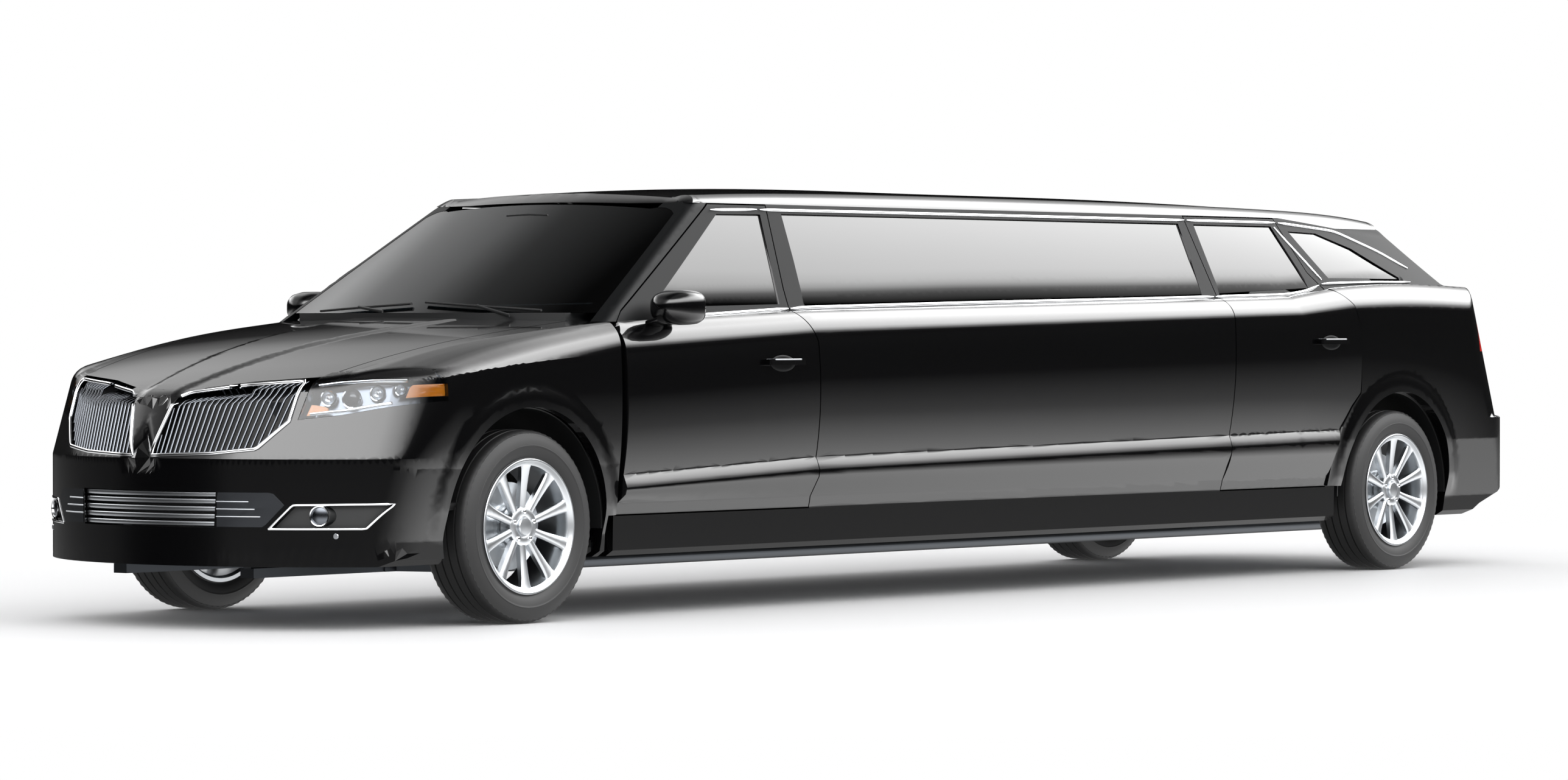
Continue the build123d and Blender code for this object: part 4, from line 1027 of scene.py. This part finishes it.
def closedLine(outline, step, depth):
    line = frontPoints(outline, step, depth, closed=True)
    return np.vstack([line, line[:1]])


def levelLine(y, z, depth):
    z = np.full_like(y, z)
    return np.stack([noseDepth(y, z, depth), y, z], 1)


barLines = []
for i in range(nose["bars"]):
    foot = nose["firstBar"] + i * nose["barPitch"]
    lean = nose["barLean"][1] * i / nose["bars"] + nose["barLean"][0]
    span = insideSpan(nose["grille"], foot, lean, 1.0)
    if span is None:
        continue
    z = np.linspace(span[0], span[1], 12)
    y = foot + lean * (z - nose["leanFoot"]) / nose["leanRise"]
    barLines.append(np.stack([noseDepth(y, z, nose["barSet"]), y, z], 1))
bars = swept("grille_bars", bothSides(barLines), nose["bar"], (0, 1, 0), darkChrome)
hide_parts("grille")
rim = closedLine(nose["grille"], 14.0, -2.0)
swept("grille_surround", bothSides([rim]), nose["surround"], forward, chrome)
facePatch("grille_backing", nose["grille"], nose["backing"], nose["plate"], seal)
across = np.linspace(-nose["intakeHalf"], nose["intakeHalf"], 41)
cross = [levelLine(across, z, nose["barSet"]) for z in nose["intakeBars"]]
swept("intake_bars", cross, nose["intakeBar"], forward, satin)
facePatch("intake_backing", nose["intake"], nose["intakeBacking"], nose["plate"], seal)
facePatch("fog_pocket_backing", nose["fog"], nose["fogBacking"], nose["plate"], seal)
edge = closedLine(nose["fog"], 12.0, 1.0)
swept("fog_surround", bothSides([edge]), nose["fogBar"], forward, chrome)
ribs = [levelLine(np.linspace(nose["ribStart"], end, 16), z, 0.0) for z, end in nose["ribs"]]
swept("intake_ribs", bothSides(ribs), nose["rib"], forward, satin)
print("grille done")

lamp = {  # turned forms are (share of the radius, place along the axis in mm)
    "units": (  # half width, height, radius, set back, kind
        (736, 864, 36, 34, "projector"), (800, 884, 29, 40, "bowl"),
        (664, 866, 30, 40, "bowl"), (856, 896, 22, 36, "bowl"),
    ),
    "ring": [(0.82, -2), (0.88, 5), (1, 6), (1.04, 0), (1.0, -16), (0.8, -16)],
    "dome": [(0, 13), (0.3, 12), (0.56, 8.5), (0.76, 2.5), (0.81, -3), (0, -3)],
    "bowl": [(0.8, -1), (0.62, -9), (0.36, -13), (0.2, -13), (0.2, -1), (0, 1), (0, -15), (0.8, -15)],
    "fogRing": [(0.84, 0), (0.9, 6), (1, 7), (1.05, 1), (1.02, -8), (0.84, -8)],
    "fogLens": [(0, 5), (0.5, 4), (0.84, 0), (0.84, -5), (0, -5)],
    "fogSet": 6,
    "sensor": (757, 355, 11, -1),  # half width, height, radius, set back
    "sensorForm": [(0, 1.5), (9 / 11, 1.2), (1, -0.5), (1, -4), (0, -4)],
    "amberOuter": [(884, 866), (888, 914), (948, 920), (952, 876)],
    "amberInner": [(626, 800), (634, 842), (684, 832), (690, 812)],
    "brow": [(640, 912), (700, 922), (800, 930), (880, 930)],
    "floorLine": [(640, 806), (739, 819), (860, 848)],
    "browBar": (5.0, 12.0, 2.0),
    "turn": 24.0,
    "axis": 0.01,  # smallest radius, so that the middle closes
}


def aimed(form, r, y, z, back, sign, count=32):
    # a turned form that looks forwards and a little outwards from its place behind the lens
    verts, faces = turned([(r * share if share else lamp["axis"], w) for share, w in form], count)
    x = float(noseDepth(np.array([float(y)]), np.array([float(z)]), back)[0])
    a = math.radians(lamp["turn"])
    moved = []
    for u, w, v in verts:
        ahead = x + w * math.cos(a) - u * math.sin(a)
        out = y + w * math.sin(a) + u * math.cos(a)
        moved.append((ahead / 1000, sign * out / 1000, (z + v) / 1000))
    return moved, faces


for side, sign in sides:
    shells, domes, bowls = [], [], []
    for y, z, r, back, kind in lamp["units"]:
        shells.append(aimed(lamp["ring"], r, y, z, back, sign))
        if kind == "projector":
            domes.append(aimed(lamp["dome"], r, y, z, back, sign))
        else:
            bowls.append(aimed(lamp["bowl"], r, y, z, back, sign))
    for name, parts, finish, slotName in (
        ("lamp_rings_", shells, chrome, "chrome"), ("projector_dome_", domes, darkGlass, "lamp"),
        ("lamp_bowls_", bowls, satin, "chrome"),
    ):
        newObject(name + side, joinParts(name + side, parts), finish, "chassis")
facePatch("amber_outer", lamp["amberOuter"], 16.0, 6.0, amberLens, step=12.0)
facePatch("amber_inner", lamp["amberInner"], 16.0, 6.0, amberLens, step=12.0)
edges = [frontPoints(lamp[key], 14.0, 12.0) for key in ("brow", "floorLine")]
swept("lamp_brows", bothSides(edges), lamp["browBar"], forward, chrome)
y, z, r = nose["fogLamp"]
fogRings = [aimed(lamp["fogRing"], r, y, z, lamp["fogSet"], sign) for side, sign in sides]
fogLenses = [aimed(lamp["fogLens"], r, y, z, lamp["fogSet"], sign) for side, sign in sides]
newObject("fog_rings", joinParts("fog_rings", fogRings), chrome, "chassis")
newObject("fog_lenses", joinParts("fog_lenses", fogLenses), reflector, "chassis")
y, z, r, back = lamp["sensor"]
sensors = [aimed(lamp["sensorForm"], r, y, z, back, sign) for side, sign in sides]
newObject("bumper_sensors", joinParts("bumper_sensors", sensors), satin, "chassis")
facePatch("intake_side_plates", nose["sidePlate"], -1.2, 3.0, darkChrome, step=18.0)
print("lamps done")


mirror = {
    "stations": (  # place, width share, height share, lift
        (-700, 0.10, 0.10, 4), (-706, 0.42, 0.40, 3), (-722, 0.68, 0.66, 2), (-750, 0.88, 0.88, 1),
        (-785, 0.98, 0.99, 0), (-825, 1.0, 1.0, 0), (-858, 0.985, 0.98, 0), (-872, 0.95, 0.93, 0),
        (-874, 0.90, 0.87, 0), (-866, 0.88, 0.85, 0),
    ),
    "face": ((-867.5, 0.86, 0.83, 0), (-865, 0.86, 0.83, 0)),
    "centre": (989, 1206), "half": (97, 69), "square": 3.2,
    "arm": ((893, 30, 1146), (918, 34, 1150), (945, 38, 1156), (975, 44, 1164)),  # half width, size, height
    "armPlace": -770,
}


def podRing(x, w, h, lift, sign, count=44):
    ring = []
    cy, cz = mirror["centre"]
    halfY, halfZ = mirror["half"]
    power = mirror["square"]
    for k in range(count):
        a = 2 * math.pi * k / count
        c, s = math.cos(a), math.sin(a)
        q = (abs(c) ** power + abs(s) ** power) ** (-1 / power)
        y, z = cy + halfY * w * q * c, cz + lift + halfZ * h * q * s
        ring.append(((x + xFront) / 1000, sign * y / 1000, z / 1000))
    return ring


def armRing(y, half, z, sign):
    x = xFront + mirror["armPlace"]
    return [
        ((x + half * 1.6 * math.cos(t)) / 1000, sign * y / 1000, (z + half * 0.5 * math.sin(t)) / 1000)
        for t in np.linspace(0, 2 * math.pi, 24, endpoint=False)
    ]


for side, sign in sides:
    shell = lofted([podRing(*station, sign) for station in mirror["stations"]])
    arm = lofted([armRing(*row, sign) for row in mirror["arm"]])
    mesh = joinParts("mirror_pod_" + side, [shell, arm], angle=60)
    pod = newObject("mirror_pod_" + side, mesh, paint, "front_door_" + side)
    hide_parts("mirror_" + side)
    face = lofted([podRing(*station, sign) for station in mirror["face"]])
    mesh = joinParts("mirror_face_" + side, [face])
    newObject("mirror_face_" + side, mesh, mirrorGlass, "front_door_" + side)
print("mirrors done")


wiper = {  # ends are (half width, height) on the screen
    "blades": (((610, 1196), (40, 1228)), ((-30, 1222), (-560, 1194))), "blade": (9.0, 14.0, 2.5),
    "arms": (((520, 1176), (330, 1214)), ((-120, 1192), (-300, 1210))), "arm": (12.0, 7.0, 2.5),
    "bladeOff": 11, "armOff": 22,
    "innerMirror": ((-118, 18, 0), (-110, 28, 0), (0, 32, -4), (110, 28, 0), (118, 18, 0)),
    "innerPlaces": (-1030, -1046), "innerHeight": 1556,
}


def screenPoint(y, z, off):
    place, foot, bow, (run, rise) = body["screenPlace"]
    r = (body["screenHalf"] ** 2 + bow ** 2) / (2 * bow)
    flat = off * math.hypot(run, rise) / rise
    shift = (z - foot) * run / rise
    return np.stack([shift + xFront + place - r + np.sqrt((r + flat) ** 2 - y ** 2), y, z], 1)


def screenLine(a, b, off, steps=14):
    t = np.linspace(0, 1, steps)
    return screenPoint(a[0] + (b[0] - a[0]) * t, a[1] + (b[1] - a[1]) * t, off)


def innerRing(y, half, bend):
    near, far = [(xFront + place + bend) / 1000 for place in wiper["innerPlaces"]]
    high, low = (wiper["innerHeight"] + half) / 1000, (wiper["innerHeight"] - half) / 1000
    return [(near, y / 1000, high), (far, y / 1000, high), (far, y / 1000, low), (near, y / 1000, low)]


upward = (0, 0, 1)
blades = [screenLine(a, b, wiper["bladeOff"]) for a, b in wiper["blades"]]
swept("wiper_blades", blades, wiper["blade"], upward, seal)
arms = [screenLine(a, b, wiper["armOff"]) for a, b in wiper["arms"]]
swept("wiper_arms", arms, wiper["arm"], upward, plastic)
inner = lofted([innerRing(*row) for row in wiper["innerMirror"]])
mesh = joinParts("inner_mirror", [inner], angle=60)
newObject("inner_mirror", mesh, plastic, "chassis")
print("wipers done")


handle = {
    "doors": {"front_door": (-1392, -1592, 990), "rear_door": (-5348, -5548, 1062)},  # ends, height
    # cup: size of the painted-shade dish that stands for the shaded recess behind the handle
    "cup": (78.0, 33.0), "cupDrop": 6,
    "shadeDishRings": ((1.0, 0.5), (0.97, 1.6), (0.7, 1.2), (0.3, 0.9), (0.05, 0.8)),  # share, stand-off
    "line": (4.0, 5.0, 1.5), "lineRise": 10, "lineOff": 33.2,
    "quarterStrip": [(-5352, 1584), (-5430, 1500), (-5505, 1420), (-5566, 1344)],
}


# the dish behind each handle is painted shade: a dull black sheet laid just proud of the door where the
# recess lies in shade
def shadeDishRing(middle, height, share, off, sign):
    t = np.linspace(0, 2 * math.pi, 40, endpoint=False)
    x = middle + xFront + handle["cup"][0] * share * np.cos(t)
    z = height - handle["cupDrop"] + handle["cup"][1] * share * np.sin(t)
    y = skinDepth(["mid"], x, z) + off
    return [(u / 1000, sign * v / 1000, w / 1000) for u, v, w in zip(x, y, z)]


for kind, (a, b, height) in handle["doors"].items():
    for side, sign in sides:
        door = kind + "_" + side
        cup = lofted([shadeDishRing((a + b) / 2, height, share, off, sign) for share, off in handle["shadeDishRings"]])
        mesh = joinParts("handle_cup_shade_" + door, [cup], angle=70)
        newObject("handle_cup_shade_" + door, mesh, satinFilmAndCupShade, door)
        t = np.linspace(0, 1, 22)
        x = a + (b - a) * t + xFront
        z = np.full_like(x, float(height) + handle["lineRise"])
        y = skinDepth(["mid"], x, z) + handle["lineOff"] * np.clip(np.minimum(t, 1 - t) / 0.1, 0, 1) ** 0.5
        line = np.stack([x, sign * y, z], 1)
        swept("handle_line_" + door, [line], handle["line"], (0, sign, 0), satin, door)
for side, sign in sides:
    ribbon("quarter_strip_" + side, handle["quarterStrip"], sign, 11.0, 5.0, ["rear", "cabin"], "chassis")
print("handles done")


pads = {"voxel": 0.015, "rounds": 7, "front_seats": 0.75, "lounge_seats": 0.7}


def softPad(node):
    # the seat's closed form drawn in at its edges and left crowned between them, as foam under leather is
    bm = bmesh.new()
    bm.from_mesh(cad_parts[node].data)
    bmesh.ops.remove_doubles(bm, verts=bm.verts, dist=skin["weld"])
    rough = bpy.data.meshes.new(node + "_rough")
    bm.to_mesh(rough)
    bm.free()
    holder = bpy.data.objects.new(node + "_rough", rough)
    scene.collection.objects.link(holder)
    mod = holder.modifiers.new("even", "REMESH")
    mod.mode = "VOXEL"
    mod.voxel_size = pads["voxel"]
    graph = bpy.context.evaluated_depsgraph_get()
    mesh = bpy.data.meshes.new_from_object(holder.evaluated_get(graph))
    holder.modifiers.remove(mod)
    bpy.data.objects.remove(holder)
    bm = bmesh.new()
    bm.from_mesh(mesh)
    for turn in range(pads["rounds"]):
        axes = {"use_axis_x": True, "use_axis_y": True, "use_axis_z": True}
        bmesh.ops.smooth_vert(bm, verts=bm.verts, factor=0.5, **axes)
    for f in bm.faces:
        f.smooth = True
    bm.to_mesh(mesh)
    bm.free()
    mesh.name = node + "_pads"
    pad = newObject(node + "_pads", mesh, leather, "chassis")
    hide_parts(node)
    print("pads", node, len(mesh.polygons))


for node in ("front_seats", "lounge_seats"):
    softPad(node)
print("seats done")


finishes = {
    steel: ["knuckle_left", "knuckle_right", "front_suspension", "rear_suspension", "exhaust"],
    iron: ["engine"],
    plastic: ["fog_lamps", "wheel_liners", "cowl", "dashboard", "steering_wheel", "partition"],
    underseal: ["floor_pan"],
}
for material, nodes in finishes.items():
    for node in nodes:
        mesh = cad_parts[node].data
        mesh.materials.clear()
        mesh.materials.append(material)

stage = {  # in m and degrees
    "floor": "#fbfbfc", "size": 60.0, "fade": (4.6, 9.0), "sky": 9.0, "dome": 0.95,
    "camera": (18.771, 15.050, 1.145), "yaw": -140.78, "pitch": -0.689, "lens": 127.47,
    # what polished faces see, from straight below (0) to straight above (1): a dim floor, a dark wall,
    # a soft box and a dark ceiling
    "upRamp": [
        (0.0, 0.04), (0.26, 0.20), (0.375, 0.26), (0.45, 0.05), (0.50, 0.003), (0.59, 0.004), (0.63, 0.20),
        (0.66, 0.55), (0.70, 0.86), (0.81, 1.0), (0.86, 0.55), (0.92, 0.05), (1.0, 0.03),
    ],
    # the same across the room, from the far right (0) to the far left (1)
    "sideRamp": [
        (0.0, 0.5), (0.06, 0.5), (0.13, 0.12), (0.19, 0.05), (0.27, 0.07), (0.35, 0.15), (0.40, 0.36),
        (0.455, 0.9), (0.5, 1.0), (1.0, 1.0),
    ],
    "lamps": [  # name, place, size, watts
        ("key", (2.0, 7.0, 7.5), 6.0, 160.0), ("fill", (9.0, 2.0, 5.0), 5.0, 80.0),
        ("back", (-5.0, -6.0, 7.0), 6.0, 90.0),
    ],
}
floorMaterial, tree, shader = newMaterial("pale_studio_floor")
shader.inputs["Base Color"].default_value = srgb(stage["floor"])
shader.inputs["Roughness"].default_value = 0.55
# far from the object the floor passes into the white background, seen from anywhere
here = tree.nodes.new("ShaderNodeTexCoord")
far = addNode(tree, "ShaderNodeVectorMath", [(0, here.outputs["Object"])], operation="LENGTH")
fade = addNode(tree, "ShaderNodeMapRange", [("Value", far.outputs["Value"])], interpolation_type="SMOOTHSTEP")
fade.inputs["From Min"].default_value, fade.inputs["From Max"].default_value = stage["fade"]
seen = tree.nodes.new("ShaderNodeLightPath")
both = [(0, fade.outputs[0]), (1, seen.outputs["Is Camera Ray"])]
share = addNode(tree, "ShaderNodeMath", both, operation="MULTIPLY")
glow = addNode(tree, "ShaderNodeEmission", Color=(1, 1, 1, 1), Strength=1.0)
layers = [(0, share.outputs[0]), (1, shader.outputs[0]), (2, glow.outputs[0])]
blend = addNode(tree, "ShaderNodeMixShader", layers)
tree.links.new(blend.outputs[0], tree.nodes["Material Output"].inputs[0])
bm = bmesh.new()
bmesh.ops.create_grid(bm, x_segments=1, y_segments=1, size=stage["size"])
mesh = bpy.data.meshes.new("studio_floor")
bm.to_mesh(mesh)
bm.free()
mesh.materials.append(floorMaterial)
floor = bpy.data.objects.new("studio_floor", mesh)
scene.collection.objects.link(floor)
floor.visible_glossy = False

world = bpy.data.worlds.new("studio")
scene.world = world
world.use_nodes = True
tree = world.node_tree
tree.nodes.clear()
out = tree.nodes.new("ShaderNodeOutputWorld")
where = tree.nodes.new("ShaderNodeTexCoord")
split = addNode(tree, "ShaderNodeSeparateXYZ", links=[("Vector", where.outputs["Generated"])])


def skyRamp(axis, stops):
    # grey levels along one axis of the direction, which runs from -1 to 1
    half = addNode(tree, "ShaderNodeMath", [(0, split.outputs[axis])], operation="MULTIPLY_ADD")
    half.inputs[1].default_value = 0.5
    half.inputs[2].default_value = 0.5
    ramp = addNode(tree, "ShaderNodeValToRGB", [(0, half.outputs[0])])
    while len(ramp.color_ramp.elements) < len(stops):
        ramp.color_ramp.elements.new(0.5)
    for element, (at, level) in zip(ramp.color_ramp.elements, stops):
        element.position = at
        element.color = (level, level, level, 1)
    return ramp.outputs[0]


upLevel, sideLevel = skyRamp("Z", stage["upRamp"]), skyRamp("Y", stage["sideRamp"])
power = addNode(tree, "ShaderNodeMath", [(0, sideLevel)], operation="MULTIPLY")
power.inputs[1].default_value = stage["sky"]
ray = tree.nodes.new("ShaderNodeLightPath")
room = addNode(tree, "ShaderNodeBackground", [("Color", upLevel), ("Strength", power.outputs[0])])
dome = addNode(tree, "ShaderNodeBackground", Color=(1, 1, 1, 1), Strength=stage["dome"])
white = addNode(tree, "ShaderNodeBackground", Color=(1, 1, 1, 1), Strength=1.0)
layers = [(0, ray.outputs["Is Glossy Ray"]), (1, dome.outputs[0]), (2, room.outputs[0])]
lit = addNode(tree, "ShaderNodeMixShader", layers)
layers = [(0, ray.outputs["Is Camera Ray"]), (1, lit.outputs[0]), (2, white.outputs[0])]
shown = addNode(tree, "ShaderNodeMixShader", layers)
tree.links.new(shown.outputs[0], out.inputs[0])

for name, at, size, watts in stage["lamps"]:
    data = bpy.data.lights.new(name, "AREA")
    data.size = size
    data.energy = watts
    light = bpy.data.objects.new(name, data)
    light.location = at
    light.rotation_euler = (-Vector(at)).to_track_quat("-Z", "Y").to_euler()
    light.visible_glossy = False
    scene.collection.objects.link(light)

camData = bpy.data.cameras.new("photo_camera")
camData.lens = stage["lens"]
camData.sensor_width = 36.0
camData.clip_end = 200.0
cam = bpy.data.objects.new("photo_camera", camData)
cam.location = stage["camera"]
yaw, pitch = math.radians(stage["yaw"]), math.radians(stage["pitch"])
look = Vector((math.cos(pitch) * math.cos(yaw), math.cos(pitch) * math.sin(yaw), math.sin(pitch)))
cam.rotation_euler = look.to_track_quat("-Z", "Y").to_euler()
scene.collection.objects.link(cam)
scene.camera = cam
scene.render.engine = "CYCLES"
scene.view_settings.view_transform = "Standard"
print("stage done")
